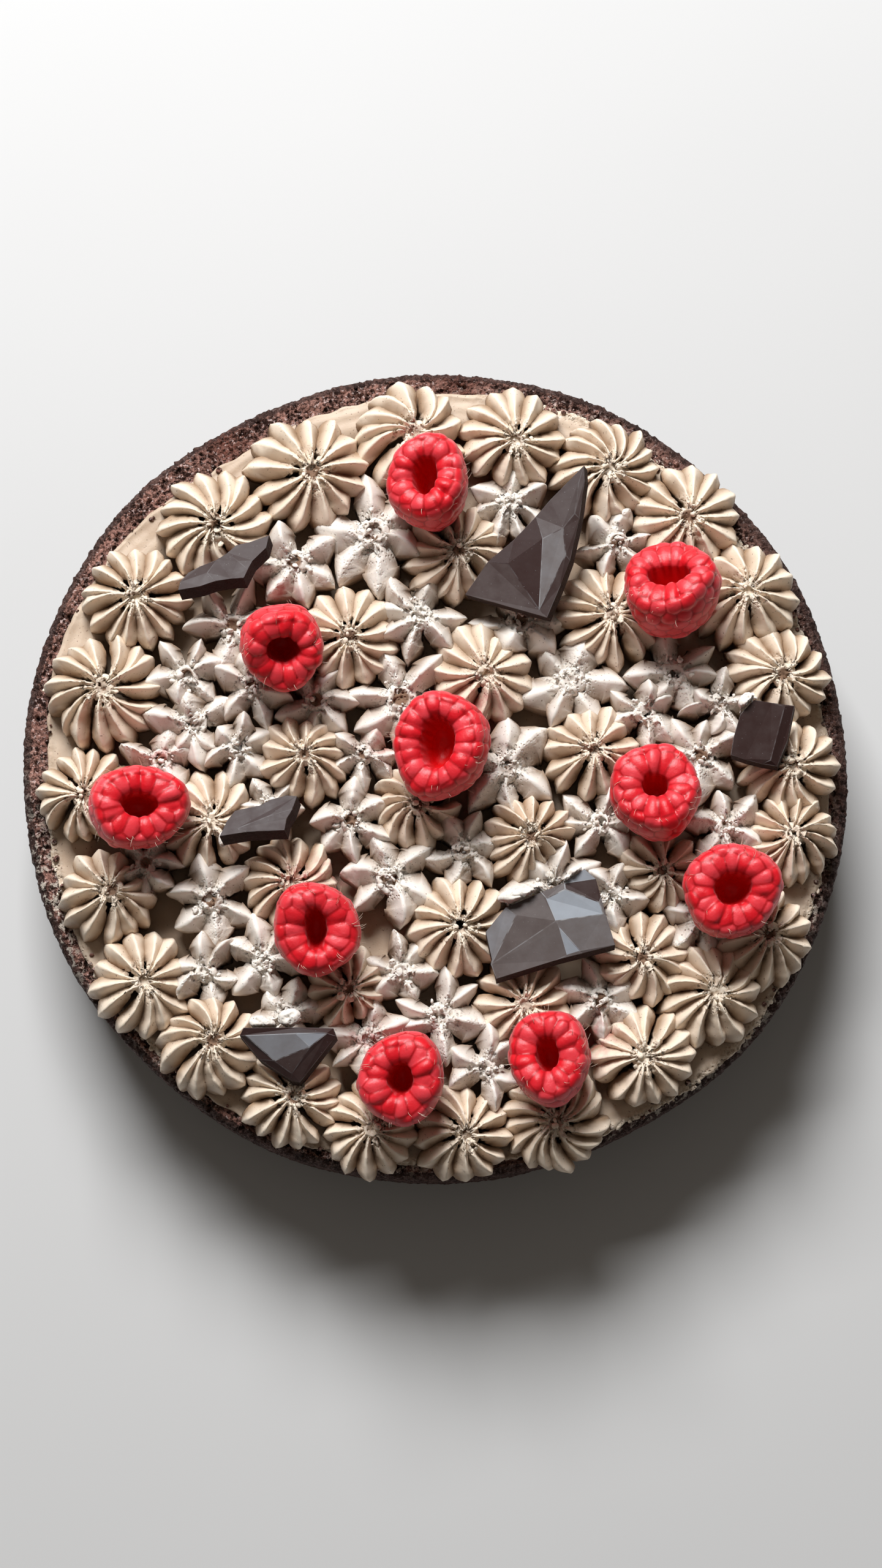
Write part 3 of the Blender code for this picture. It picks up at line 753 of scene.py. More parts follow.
class Surface(Wiring):
    """A material's tree with its Principled shader and the coordinates of its piece."""

    def __init__(self, name: str, constants: Mapping[str, Any]) -> None:
        """Start a material.

        Args:
            name: Its name.
            constants: Values set on the shader's own sockets.
        """
        self.material = bpy.data.materials.new(name)
        self.material.use_nodes = True
        super().__init__(self.material.node_tree)
        self.shader = self.tree.nodes["Principled BSDF"]
        for key, value in constants.items():
            self.shader.inputs[key].default_value = value
        self.place = self.out("ShaderNodeTexCoord", "Object")

    def feed(self, **links: Value) -> Material:
        """Link values to the shader.

        Args:
            links: The values, named base_color, roughness or normal.

        Returns:
            The material.
        """
        for name, value in links.items():
            self.tree.links.new(value.socket, self.shader.inputs[name.replace("_", " ").title()])
        return self.material

    def bump(self, height: Value, distance: float, strength: float = 1.0,
             under: Value | None = None) -> Value:
        """Add a bump.

        Args:
            height: What stands up, from 0 to 1.
            distance: How high, in millimetres.
            strength: How strongly it shows.
            under: A bump that it lies over.

        Returns:
            The normal.
        """
        inputs = {"Height": height, "Distance": distance * MM, "Strength": strength}
        if under is not None:
            inputs["Normal"] = under
        return self.out("ShaderNodeBump", 0, {}, inputs)


@dataclass(frozen=True)
class CreamFinish:
    """Whipped chocolate cream: soft satin, paler on its crests, with tiny dark flecks; its grooves,
    flanks, pores and torn hollows get painted shade.
    """

    name: str
    crest: Colour
    # painted shade: the cream's colour in its grooves and on the flanks away from the crests
    painted_groove_shade: Colour
    torn: Colour
    fleck: Colour = (0.16, 0.09, 0.06)
    # painted shade: the colour of the pores and of the hearts' sunken middles
    pit: Colour = (0.20, 0.115, 0.070)
    stain: Colour = (0.45, 0.12, 0.11)
    gloss: float = 0.52

    def build(self) -> Material:
        """Make the material.

        Returns:
            The material.
        """
        w = Surface(self.name, {
            "IOR": 1.42, "Subsurface Weight": 0.12, "Subsurface Radius": (1.0, 0.72, 0.5),
            "Subsurface Scale": 0.0012})
        crest, torn = w.mark("crest"), w.mark("torn")
        drift = w.noise(w.place, 9.0, 2.0)
        # Paler on the crests, with painted shade towards the grooves, flanks and undersides, after
        # the mark crest.
        colour = w.mix(w.ease(crest + (drift - 0.5) * 0.6, 0.0, 0.9), self.painted_groove_shade, self.crest)
        foam = w.cells(w.place, 0.9)
        rough = w.noise(w.place, 0.7, 4.0, 0.7)
        colour = w.mix(torn * w.ease(rough, 0.35, 0.65), colour, self.torn)
        # Painted shade in the pores and in the hearts' sunken middles, after the mark pit.
        colour = w.mix(w.ease(w.mark("pit"), 0.3, 0.85), colour, self.pit)
        specks = w.ease(w.noise(w.place, 0.6, 1.0), 0.70, 0.75)
        colour = w.mix(specks * 0.75, colour, self.fleck)
        stain = w.mark("stain")
        colour = w.mix(stain * 0.65 * w.ease(w.noise(w.place, 2.2, 3.0), 0.35, 0.7),
                       colour, self.stain)
        grain = w.bump(w.noise(w.place, 0.45, 3.0, 0.6), 0.10, 0.5)
        holes = w.bump(w.ease(foam, 0.05, 0.45), 0.45, 0.9, grain)
        normal = w.out("ShaderNodeMix", 1, {"data_type": "VECTOR"},
                       {0: w.ease(torn, 0.05, 0.6), 4: grain, 5: holes})
        gloss = self.gloss + torn * 0.3 + (rough - 0.5) * 0.15
        return w.feed(base_color=colour, roughness=gloss, normal=normal)


@dataclass(frozen=True)
class CrumbFinish:
    """Dark baked crumb: matt, open-pored, with smears of cream; its own reddish-brown mottling
    carries painted light on the raised grain, painted shade in the low grain and pores, and painted
    glints.
    """

    name: str
    light: Colour = (0.42, 0.215, 0.170)
    # near black: the crumb's darker brown and the painted shade of its low grain and pores
    dark: Colour = (0.020, 0.006, 0.003)
    # painted highlight: pale glints of light on the crumb
    painted_glint: Colour = (0.72, 0.54, 0.50)
    crust: Colour = (0.040, 0.020, 0.016)
    smear: Colour = (0.74, 0.66, 0.56)
    rust: Colour = (0.15, 0.045, 0.028)

    def build(self) -> Material:
        """Make the material.

        Returns:
            The material.
        """
        w = Surface(self.name, {"IOR": 1.4, "Specular IOR Level": 0.22})
        grain = w.noise(w.place, 0.95, 4.0, 0.7)
        patch = w.noise(w.place, 6.0, 2.0)
        pit = w.mark("pit")
        # Lighter on the raised grain and near black in the low grain and pores: the crumb's own
        # mottling with painted light and shade over it.
        lift = w.ease(grain + (patch - 0.5) * 0.4 - pit * 0.35, 0.38, 0.64)
        colour = w.mix(lift, self.dark, self.light)
        # Painted highlights: pale glints scattered over the crumb, kept out of the pores.
        painted_glint = w.ease(w.noise(w.place, 0.75, 1.0), 0.60, 0.68) * (1.0 - pit)
        colour = w.mix(painted_glint * 0.7, colour, self.painted_glint)
        colour = w.mix(w.mark("crust") * 0.8, colour, self.crust)
        colour = w.mix(w.mark("rust") * w.ease(grain, 0.4, 0.6), colour, self.rust)
        dabs = w.ease(w.noise(w.place, 1.9, 3.0, 0.6), 0.53, 0.58)
        colour = w.mix(dabs * w.mark("smear"), colour, self.smear)
        fine = w.bump(grain, 1.0, 1.0)
        pores = w.bump(w.ease(w.cells(w.place, 0.65), 0.08, 0.5), 0.3, 0.7, fine)
        gloss = w.ease(grain, 0.35, 0.7, 0.9, 0.38)
        return w.feed(base_color=colour, roughness=gloss, normal=pores)


@dataclass(frozen=True)
class BerryFinish:
    """Raspberry skin: wet-looking red, with a painted pale sheen towards its edges, painted shade in
    its creases and hollow, and painted highlights on its drupelets.
    """

    name: str
    skin: Colour = (0.67, 0.006, 0.015)
    # painted shade: the darker red of the creases between drupelets
    crease: Colour = (0.47, 0.004, 0.009)
    # the lighter red on the drupelets' crowns: random from one drupelet to the next, and a painted
    # highlight
    light: Colour = (0.80, 0.075, 0.095)
    # painted sheen: pale pink where the skin turns away towards its edges
    painted_edge_sheen: Colour = (0.90, 0.34, 0.36)
    # painted shade: the deeper red down inside the hollow
    hollow: Colour = (0.64, 0.002, 0.004)

    def build(self) -> Material:
        """Make the material.

        Returns:
            The material.
        """
        w = Surface(self.name, {
            "IOR": 1.45, "Subsurface Weight": 0.34, "Subsurface Radius": (1.0, 0.18, 0.15),
            "Subsurface Scale": 0.0026, "Sheen Weight": 0.06, "Sheen Roughness": 0.35,
            "Sheen Tint": (1.0, 0.80, 0.80, 1.0)})
        crest = w.mark("crest")
        drift = w.noise(w.place, 3.0, 2.0)
        # Painted shade in the creases between drupelets, after the mark crest.
        colour = w.mix(w.ease(crest + (drift - 0.5) * 0.3, 0.15, 0.75), self.crease, self.skin)
        # Lighter on the crowns of the drupelets: a random tone per drupelet, painted as a highlight
        # on each crown.
        ripe = w.ease(w.mark("tone") + (drift - 0.5) * 0.6, 0.0, 1.0)
        colour = w.mix(ripe * w.ease(crest, 0.0, 0.8) * 0.60, colour, self.light)
        # Painted sheen: paler pink on the drupelets towards their grazing edges.
        edge = w.out("ShaderNodeLayerWeight", "Facing", {}, {"Blend": 0.42})
        colour = w.mix(w.ease(edge, 0.35, 1.0) * w.ease(crest, 0.3, 0.9) * 0.34,
                       colour, self.painted_edge_sheen)
        # Painted shade down inside the hollow, after the mark inside.
        colour = w.mix(w.mark("inside"), colour, self.hollow)
        down = w.noise(w.place, 0.22, 2.0, 0.6)
        skin = w.bump(w.noise(w.place, 0.9, 3.0, 0.6) + down * 0.35, 0.12, 0.6)
        return w.feed(base_color=colour, roughness=0.31 + down * 0.22, normal=skin)


@dataclass(frozen=True)
class HairFinish:
    """The fine pale hairs of a raspberry."""

    name: str
    root: Colour = (0.55, 0.16, 0.12)
    tip: Colour = (0.92, 0.76, 0.60)

    def build(self) -> Material:
        """Make the material.

        Returns:
            The material.
        """
        w = Surface(self.name, {"IOR": 1.5})
        colour = w.mix(w.ease(w.mark("crest"), 0.0, 0.6), self.root, self.tip)
        return w.feed(base_color=colour, roughness=0.35 + w.noise(w.place, 0.5) * 0.1)


@dataclass(frozen=True)
class ChocolateFinish:
    """Tempered dark chocolate: each facet with its own painted reflection, painted highlights along
    its creases, dull broken walls.
    """

    name: str
    body: Colour = (0.036, 0.018, 0.016)
    # painted reflections: brownish grey on dimmer facets, bluish grey on the brightest
    painted_warm_reflection: Colour = (0.135, 0.112, 0.105)
    painted_reflection: Colour = (0.31, 0.335, 0.37)
    broken: Colour = (0.034, 0.019, 0.016)
    # painted highlight along the creases and rounded edges, also the colour of faint pale specks
    crease: Colour = (0.34, 0.34, 0.345)

    def build(self) -> Material:
        """Make the material.

        Returns:
            The material.
        """
        w = Surface(self.name, {"IOR": 1.5, "Specular IOR Level": 0.16})
        cloud = w.noise(w.place, 4.0, 3.0, 0.6)
        grain = w.noise(w.place, 0.6, 4.0, 0.7)
        broken, edge = w.mark("broken"), w.mark("crease")
        # The mark tone sets how much painted reflection each facet shows.
        tone = w.mark("tone") + (cloud - 0.5) * 0.22
        colour = w.mix(w.ease(tone, 0.0, 0.6), self.body, self.painted_warm_reflection)
        colour = w.mix(w.ease(tone, 0.4, 1.1), colour, self.painted_reflection)
        colour = w.mix(w.ease(w.noise(w.place, 0.35, 1.0), 0.75, 0.79) * 0.4, colour, self.crease)
        wall = w.mix(w.ease(grain, 0.45, 0.75) * 0.5, self.broken, self.body)
        colour = w.mix(broken, colour, wall)
        # Painted highlights along the creases, broken up by noise.
        lit = w.ease(w.noise(w.place, 3.5, 3.0, 0.6), 0.36, 0.62)
        colour = w.mix(edge * lit, colour, self.crease)
        gloss = 0.42 + (cloud - 0.5) * 0.3 + broken * 0.25
        flat = w.bump(w.noise(w.place, 2.4, 2.0), 0.06, 0.5)
        rough = w.bump(grain, 0.6, 0.9, flat)
        normal = w.out("ShaderNodeMix", 1, {"data_type": "VECTOR"}, {0: broken, 4: flat, 5: rough})
        return w.feed(base_color=colour, roughness=gloss, normal=normal)


@dataclass(frozen=True)
class FloorFinish:
    """Plain pale floor."""

    name: str
    colour: Colour = (0.62, 0.61, 0.60)

    def build(self) -> Material:
        """Make the material.

        Returns:
            The material.
        """
        w = Surface(self.name, {"Specular IOR Level": 0.1})
        drift = w.noise(w.place, 160.0, 2.0)
        darker = tuple(0.96 * part for part in self.colour)
        return w.feed(base_color=w.mix(drift, self.colour, darker), roughness=0.7 + drift * 0.1)


@dataclass(frozen=True)
class Finishes:
    """Every material of the cake."""

    mocha: Material
    pale: Material
    crumb: Material
    berry: Material
    hair: Material
    chocolate: Material

    @classmethod
    def build(cls) -> "Finishes":
        """Make them all."""
        kinds = (
            CreamFinish("mocha_cream_piped", (0.825, 0.69, 0.55), (0.34, 0.22, 0.135),
                        (0.87, 0.75, 0.61)),
            CreamFinish("pale_cream_piped", (0.80, 0.735, 0.665), (0.30, 0.215, 0.155),
                        (0.80, 0.74, 0.66)),
            CrumbFinish("dark_crumb"), BerryFinish("raspberry_skin"),
            HairFinish("raspberry_hair"), ChocolateFinish("dark_chocolate"))
        return cls(*(kind.build() for kind in kinds))


def hand_over(piece: bpy.types.Object, slot: Slot, *nodes: str) -> bpy.types.Object:
    """Let a piece stand for its nodes and ride on the cake.

    Args:
        piece: The finished piece.
        slot: The record's material slot; not used.
        nodes: The nodes that it stands for.

    Returns:
        The piece.
    """
    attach(piece, "root")
    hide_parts(*nodes)
    count = sum(len(face.vertices) - 2 for face in piece.data.polygons)
    LOG.info("%s: %d triangles", piece.name, count)
    return piece


# --- Camera, light and floor ---

@dataclass
class Studio:
    """Camera over the cake as in the photograph, a window from the back left, and the floor."""

    camera_place: Triple = (1.47, -103.26, 592.07)
    camera_tilt: float = 10.0
    focal_pixels: float = 3846.0
    frame_height: float = 2560.0
    sensor: float = 36.0
    window_turn: float = 104.0       # direction of the window, degrees from +X
    window_climb: float = 47.0       # its height over the table, degrees
    window_distance: float = 1.3
    window_size: Pair = (0.62, 0.496)
    window_power: float = 27.5
    window_colour: Colour = (0.96, 0.98, 1.0)
    sky: Colour = (1.0, 0.92, 0.83)
    sky_strength: float = 0.11
    floor_half: float = 1500.0
    floor_drop: float = 0.2          # so that it doesn't lie in the cake's underside

    def set_camera(self) -> None:
        """Make the scene's camera."""
        data = bpy.data.cameras.new("camera")
        data.sensor_width = self.sensor
        data.lens = self.focal_pixels / self.frame_height * self.sensor
        data.clip_start = 0.01
        camera = bpy.data.objects.new("camera", data)
        camera.location = Vector(self.camera_place) * MM
        camera.rotation_euler = (radians(self.camera_tilt), 0.0, 0.0)
        bpy.context.collection.objects.link(camera)
        bpy.context.scene.camera = camera

    def set_lights(self) -> None:
        """Make the window and the soft sky round it."""
        turn, climb = radians(self.window_turn), radians(self.window_climb)
        way = Vector((cos(turn) * cos(climb), sin(turn) * cos(climb), sin(climb)))
        data = bpy.data.lights.new("window", "AREA")
        data.shape = "RECTANGLE"
        data.size, data.size_y = self.window_size
        data.energy = self.window_power
        data.color = self.window_colour
        window = bpy.data.objects.new("window", data)
        window.location = way * self.window_distance
        window.rotation_euler = way.to_track_quat("Z", "Y").to_euler()
        bpy.context.collection.objects.link(window)
        world = bpy.data.worlds.new("sky")
        world.use_nodes = True
        air = world.node_tree.nodes["Background"]
        air.inputs["Color"].default_value = (*self.sky, 1.0)
        air.inputs["Strength"].default_value = self.sky_strength
        bpy.context.scene.world = world
        bpy.context.scene.view_settings.view_transform = "Standard"

    def lay_floor(self) -> None:
        """Lay the floor that the cake stands on."""
        corners = [(x * self.floor_half, y * self.floor_half, -self.floor_drop)
                   for x, y in ((-1, -1), (1, -1), (1, 1), (-1, 1))]
        floor = Shape.of_faces(corners, [(0, 1, 2, 3)]).to_object(
            "floor", [FloorFinish("pale_floor").build()], smooth=False)


# --- Sponge ---

def around(table: Sequence[Pair], angles: np.ndarray) -> np.ndarray:
    """Read a closed table at angles, eased between its entries.

    Args:
        table: Pairs of degrees and value.
        angles: Where it is read, in radians.

    Returns:
        The value at each angle.
    """
    degrees = np.degrees(angles) % 360.0
    places = np.array([entry[0] for entry in table] + [table[0][0] + 360.0])
    values = np.array([entry[1] for entry in table] + [table[0][1]])
    left = np.clip(np.searchsorted(places, degrees, side="right") - 1, 0, len(table) - 1)
    share = (degrees - places[left]) / (places[left + 1] - places[left])
    share = share * share * (3.0 - 2.0 * share)
    return values[left] + (values[left + 1] - values[left]) * share


def bump_at(angles: np.ndarray, degrees: float, spread: float) -> np.ndarray:
    """A smooth hump of 1 round a direction, so many degrees wide."""
    off = (np.degrees(angles) - degrees + 180.0) % 360.0 - 180.0
    return np.exp(-(off / spread) ** 2)


@dataclass
class Rim:
    """The outline of the sponge and of the cream inside its rim."""

    radius: float = 100.0
    waves: tuple = ((2, 0.45, 0.6), (4, 0.35, 2.1), (6, 0.25, 4.0), (10, 0.2, 1.3))
    least: float = 2.0           # the rim is nowhere narrower than this
    lap: float = 0.5             # how far the cream laps over the rim
    wide_lap: float = 0.9        # and how far in the direction and spread that follow
    wide_place: Pair = (308.0, 26.0)
    widths: tuple = (            # direction in degrees and width of the rim
        (0, 5.4), (20, 5.6), (42, 8.0), (62, 6.2), (90, 6.6), (107, 7.4), (128, 8.8), (148, 6.4),
        (165, 5.2), (180, 7.0), (200, 5.4), (225, 4.6), (250, 4.2), (280, 4.0), (294, 3.0),
        (308, 2.6), (324, 3.0), (338, 4.4),
    )

    def outside(self, angles: np.ndarray) -> np.ndarray:
        """Outer radius of the sponge."""
        return self.radius + sum(size * np.cos(count * angles + phase)
                                 for count, size, phase in self.waves)

    def inside(self, angles: np.ndarray) -> np.ndarray:
        """Radius of the cream's edge."""
        return self.outside(angles) - np.maximum(around(self.widths, angles), self.least)

    def overlap(self, angles: np.ndarray) -> np.ndarray:
        """How far the cream laps over the rim."""
        return self.lap + (self.wide_lap - self.lap) * bump_at(angles, *self.wide_place)


@dataclass
class Sponge:
    """The levelled sponge: an open crumb rim round the cream, and a baked side."""

    rim: Rim
    trees: Trees
    height: float = 34.0
    hollow: float = 4.0
    points: int = 1340
    side: tuple = ((0.0, 3.2), (2.4, 1.0), (12.0, 0.0), (31.0, 0.4), (32.8, 0.9), (33.7, 1.6),
                   (34.0, 2.4))
    side_rows: int = 27
    top_rows: int = 25
    edge: float = 0.6
    lump_size: float = 1.9
    lump_height: float = 1.6
    pore_size: float = 1.5
    pore_depth: float = 1.2
    crust_width: float = 1.7
    crusted: tuple = ((20.0, 62.0), (-55.0, 30.0))      # direction and spread of the baked rim
    shoulder: float = 31.0       # the crumb grows rough above this height
    loose: int = 260
    crumb_reach: float = 97.0    # how far out the loose crumbs lie
    smears: tuple = ((0.75, 200.0, 13.0),)         # strength, direction and spread
    close_smears: tuple = ((0.8, 262.0, 8.0), (0.8, 228.0, 7.0), (0.75, 50.0, 30.0),
                           (0.75, 330.0, 22.0), (0.75, 300.0, 14.0))     # beside the cream
    rust: tuple = ((-51.0, 79.5, 5.0), (5.5, 92.0, 6.0), (-90.5, 6.0, 4.0))    # x, y and reach
    seed: int = 31

    def rows(self, angles: np.ndarray) -> list[tuple[np.ndarray, float, np.ndarray, np.ndarray]]:
        """Rows of the turned profile from the table up, over the rim and into the hollow.

        Args:
            angles: Direction of each point.

        Returns:
            For each row: radius, height, how rough it is and how much crust it wears.
        """
        outside, inside = self.rim.outside(angles), self.rim.inside(angles)
        flat = np.ones_like(angles)
        heights = [entry[0] for entry in self.side]
        insets = [entry[1] for entry in self.side]
        found = []
        for i in range(self.side_rows):
            z = self.height * (i / (self.side_rows - 1)) ** 0.8
            rough = 0.40 + 0.60 * max(0.0, (z - self.shoulder) / (self.height - self.shoulder))
            found.append((outside - np.interp(z, heights, insets), z, rough * flat, flat))
        start = np.maximum(outside - insets[-1], inside + self.edge)
        width = start - inside
        baked = np.clip(sum(bump_at(angles, *where) for where in self.crusted), 0.0, 1.0)
        for i in range(1, self.top_rows):
            share = i / (self.top_rows - 1)
            crust = baked * np.clip(1.5 - share * width / self.crust_width, 0.0, 1.0)
            found.append((start - width * share, self.height, 1.0 - 0.65 * crust, crust))
        for drop in (0.8, 1.8, 3.0, self.hollow):
            found.append((inside - 0.1 * drop, self.height - drop, 0.5 * flat, 0.0 * flat))
        return found

    def build(self) -> Shape:
        """Make the sponge with its crumb relief.

        Returns:
            The sponge with its loose crumbs.
        """
        angles = np.arange(self.points) * TURN / self.points
        rows = self.rows(angles)
        points = turned([row[:2] for row in rows], angles, 0.0, self.height - self.hollow)
        rough, crust = (np.concatenate([row[part] for row in rows] + [[0.0, 0.0]])
                        for part in (2, 3))
        rough[:self.points] = 0.0
        start = Shape.of_faces(points, tube_faces(len(rows), self.points),
                               {"rough": rough, "crust": crust})
        made = self.trees.relief.carve(
            start, (self.lump_size, self.lump_height), (self.pore_size, self.pore_depth), 1.0,
            0.31, ("crust", "pit"))
        made.points[:, 2] = np.clip(made.points[:, 2], 0.0, None)
        made = Shape.joined([made, self.crumbs()])
        self.mark(made)
        return made

    def crumbs(self) -> Shape:
        """Strew loose crumbs along the rim and on the cream beside it.

        Returns:
            The crumbs.
        """
        draw = random.Random(self.seed)
        spots = Spots()
        for _ in range(self.loose):
            turn, size = draw.uniform(0.0, TURN), draw.uniform(0.25, 0.8) ** 1.3
            edge = float(self.rim.inside(np.array([turn]))[0])
            out = edge + draw.choice((draw.uniform(0.3, 4.0), draw.uniform(-1.5, 0.5)))
            z = self.height + (0.15 if out > edge + 0.3 else 1.35)
            out = min(out, self.crumb_reach)
            spots.add((out * cos(turn), out * sin(turn), z), {
                "spin": tuple(draw.uniform(0.0, TURN) for _ in range(3)),
                "size": tuple(size * draw.uniform(0.7, 1.4) * MM for _ in range(3))})
        return spots.scatter(self.trees, lump(), 0.3, 0.7, 0.8, ())

    def mark(self, shape: Shape) -> None:
        """Say where cream is smeared into the crumb and where the crumb is rusty.

        Args:
            shape: The sponge; it gets the marks smear and rust.
        """
        x, y, z = (shape.points / MM).T
        angles, radius = np.arctan2(y, x), np.hypot(x, y)
        top = np.clip((z - self.shoulder - 0.5) / 1.5, 0.0, 1.0)
        near = np.clip(1.0 - (radius - self.rim.inside(angles)) / 3.0, 0.0, 1.0)
        wide, close = (sum(size * bump_at(angles, *where) for size, *where in table)
                       for table in (self.smears, self.close_smears))
        shape.marks["smear"] = np.clip(top * (wide + close * near), 0.0, 1.0)
        spots = np.zeros(len(x))
        for spot_x, spot_y, size in self.rust:
            spots += np.exp(-((x - spot_x) ** 2 + (y - spot_y) ** 2) / size ** 2)
        shape.marks["rust"] = np.clip(spots, 0.0, 1.0) * top

    def dress(self, finishes: Finishes) -> None:
        """Make the piece and hand it over."""
        piece = self.build().to_object("sponge_crumb", [finishes.crumb])
        hand_over(piece, Slot.SPONGE, "sponge")


# --- Cut chocolate ---

@dataclass(frozen=True)
class Cut:
    """One piece of moulded chocolate, read from the photograph."""

    height: float                # height of its middle
    rise: tuple                  # rise of its face towards +X and +Y
    outline: tuple               # x and y of the corners of its face, counter-clockwise
    inner: tuple                 # x, y and rise of the moulded points inside it
    facets: tuple                # painted reflection of each facet and its corners, outline before inner
    skirt: tuple                 # how far its underside reaches beyond its face in x and y
    thickness: float = 3.0

    def above(self, x: Any, y: Any) -> Any:
        """Height of its face at a place."""
        middle = np.mean(np.array(self.outline), 0)
        return self.height + self.rise[0] * (x - middle[0]) + self.rise[1] * (y - middle[1])


CUTS = (
    Cut(49.6, (0.08, -0.34),
        ((-60.8, 38.8), (-55.7, 39.7), (-52.1, 41.0), (-48.4, 41.6), (-45.3, 41.7), (-44.4, 44.0),
         (-43.4, 46.3), (-40.3, 49.7), (-39.6, 53.2), (-44.2, 51.4), (-47.5, 50.6), (-49.4, 48.6),
         (-52.0, 46.7), (-55.8, 45.1), (-58.6, 43.4), (-60.4, 41.0)),
        ((-54.0, 43.2, 0.25), (-46.8, 46.2, 0.1)),
        ((0.10, 0, 1, 2, 16, 12, 13, 14, 15), (-0.05, 2, 3, 4, 5, 17, 11, 12, 16),
         (0.12, 5, 6, 7, 8, 9, 10, 11, 17)), (0.7, -1.7)),
    Cut(50.6, (0.22, 0.02),
        ((7.2, 38.9), (26.5, 32.2), (29.5, 39.2), (32.0, 45.8), (34.3, 55.9), (35.6, 64.9),
         (35.5, 68.8), (27.5, 60.9), (24.0, 56.9), (18.8, 51.6), (12.6, 46.6)),
        ((24.7, 34.3, -0.1), (17.4, 45.7, 0.5), (25.6, 51.1, 1.3), (30.4, 53.5, 1.0),
         (31.0, 47.0, 0.7), (34.2, 64.5, 0.2), (33.2, 57.0, 0.5)),
        ((0.20, 0, 1, 11, 12, 10), (0.02, 12, 11, 13, 8, 9, 10), (0.55, 11, 15, 14, 13),
         (0.16, 13, 14, 17, 16, 6, 7, 8), (0.12, 1, 2, 3, 15, 11), (0.16, 3, 4, 17, 14, 15),
         (0.20, 4, 5, 6, 16, 17)), (1.0, -0.3)),
    Cut(50.0, (-0.16, 0.06),
        ((69.2, -0.9), (72.6, -1.9), (76.7, -2.8), (80.3, -3.3), (82.8, 2.6), (84.7, 11.2),
         (79.5, 11.7), (74.9, 12.3), (71.6, 8.7), (70.0, 3.5)),
        ((78.6, -2.0, 0.6), (82.2, 10.8, 0.6)),
        ((0.10, 0, 1, 2, 10, 11, 6, 7, 8, 9), (0.02, 2, 3, 4, 5, 6, 11, 10)), (0.5, -0.5)),
    Cut(50.6, (0.03, -0.36),
        ((-49.9, -20.4), (-43.7, -19.3), (-34.9, -18.9), (-34.4, -16.1), (-33.2, -13.7),
         (-32.2, -10.4), (-34.6, -10.2), (-38.3, -11.2), (-41.0, -12.8), (-43.7, -13.3),
         (-46.6, -14.0), (-48.3, -16.5)),
        ((-38.3, -15.3, 0.2), (-45.6, -18.4, 0.1)),
        ((0.0, 1, 2, 3, 4, 12, 13), (-0.1, 0, 1, 13, 12, 4, 5, 6, 7, 8, 9, 10, 11)),
        (0.8, -1.7)),
    Cut(49.8, (0.0, 0.22),
        ((-44.7, -66.3), (-40.1, -71.7), (-32.7, -76.5), (-30.9, -76.8), (-22.6, -66.4),
         (-23.2, -64.6), (-31.3, -64.4), (-39.3, -64.5), (-43.8, -64.5)),
        ((-43.3, -66.3, 0.9), (-31.7, -65.9, 1.3), (-24.6, -65.8, 0.9), (-28.5, -68.9, 1.2),
         (-36.7, -72.0, 0.8), (-32.7, -74.9, 0.6)),
        ((0.02, 8, 0, 9, 10, 11, 4, 5, 6, 7), (0.70, 9, 13, 12, 10), (0.85, 10, 12, 11),
         (0.16, 13, 14, 12), (0.10, 0, 1, 13, 9), (0.10, 1, 2, 14, 13),
         (0.12, 2, 3, 4, 11, 12, 14)), (0.3, -0.8)),
    Cut(50.4, (0.05, 0.02),
        ((14.2, -53.2), (28.4, -48.8), (34.0, -47.4), (41.6, -45.5), (39.7, -38.9), (38.5, -34.5),
         (37.3, -30.1), (34.7, -27.8), (30.1, -31.1), (24.7, -33.2), (16.4, -36.7),
         (11.8, -42.3)),
        ((13.1, -49.8, 0.1), (18.9, -38.6, 0.5), (25.9, -34.7, 0.4), (28.0, -40.0, 1.3),
         (28.8, -41.7, 1.2), (30.6, -47.8, 0.1), (39.0, -38.4, 0.3), (33.6, -46.9, 0.2),
         (30.2, -32.6, 0.5), (38.0, -35.6, 0.3)),
        ((0.62, 11, 0, 12, 13, 10), (0.36, 12, 15, 14, 9, 10, 13), (0.46, 0, 1, 17, 16, 15, 12),
         (0.92, 15, 18, 21, 20, 14), (0.52, 16, 19, 2, 3, 4, 18, 15), (0.95, 16, 17, 19),
         (0.5, 17, 1, 2, 19), (0.12, 20, 21, 5, 6, 8), (0.8, 6, 7, 8), (0.3, 14, 20, 8, 9),
         (0.5, 18, 4, 5, 21)), (0.1, -0.9)),
)


# --- Pressing ---

@dataclass
class Berry:
    """One raspberry's own sizes, in millimetres, and its place."""

    row: tuple
    height: float = 19.6
    bottom: float = 39.8
    reach: float = 9.0
    skin: tuple = ((0.0, 0.30), (0.02, 0.42), (0.28, 0.85), (0.62, 1.0), (0.85, 0.90),
                   (0.985, 0.70))

    def matrix(self) -> Matrix:
        """Say where the berry stands.

        Returns:
            Place and lean of its middle in the cake, in metres.
        """
        x, y, _, _, lean_x, lean_y = self.row[:6]
        axis = Vector((lean_x, lean_y, self.reach))
        turn = UPRIGHT.rotation_difference(axis).to_matrix().to_4x4()
        spot = Vector((x, y, self.bottom + 0.5 * self.height)) * MM
        return Matrix.Translation(spot) @ turn

    def share(self, level: Any) -> Any:
        """Share of the half width at a share of the height."""
        return np.interp(level, [s[0] for s in self.skin], [s[1] for s in self.skin])


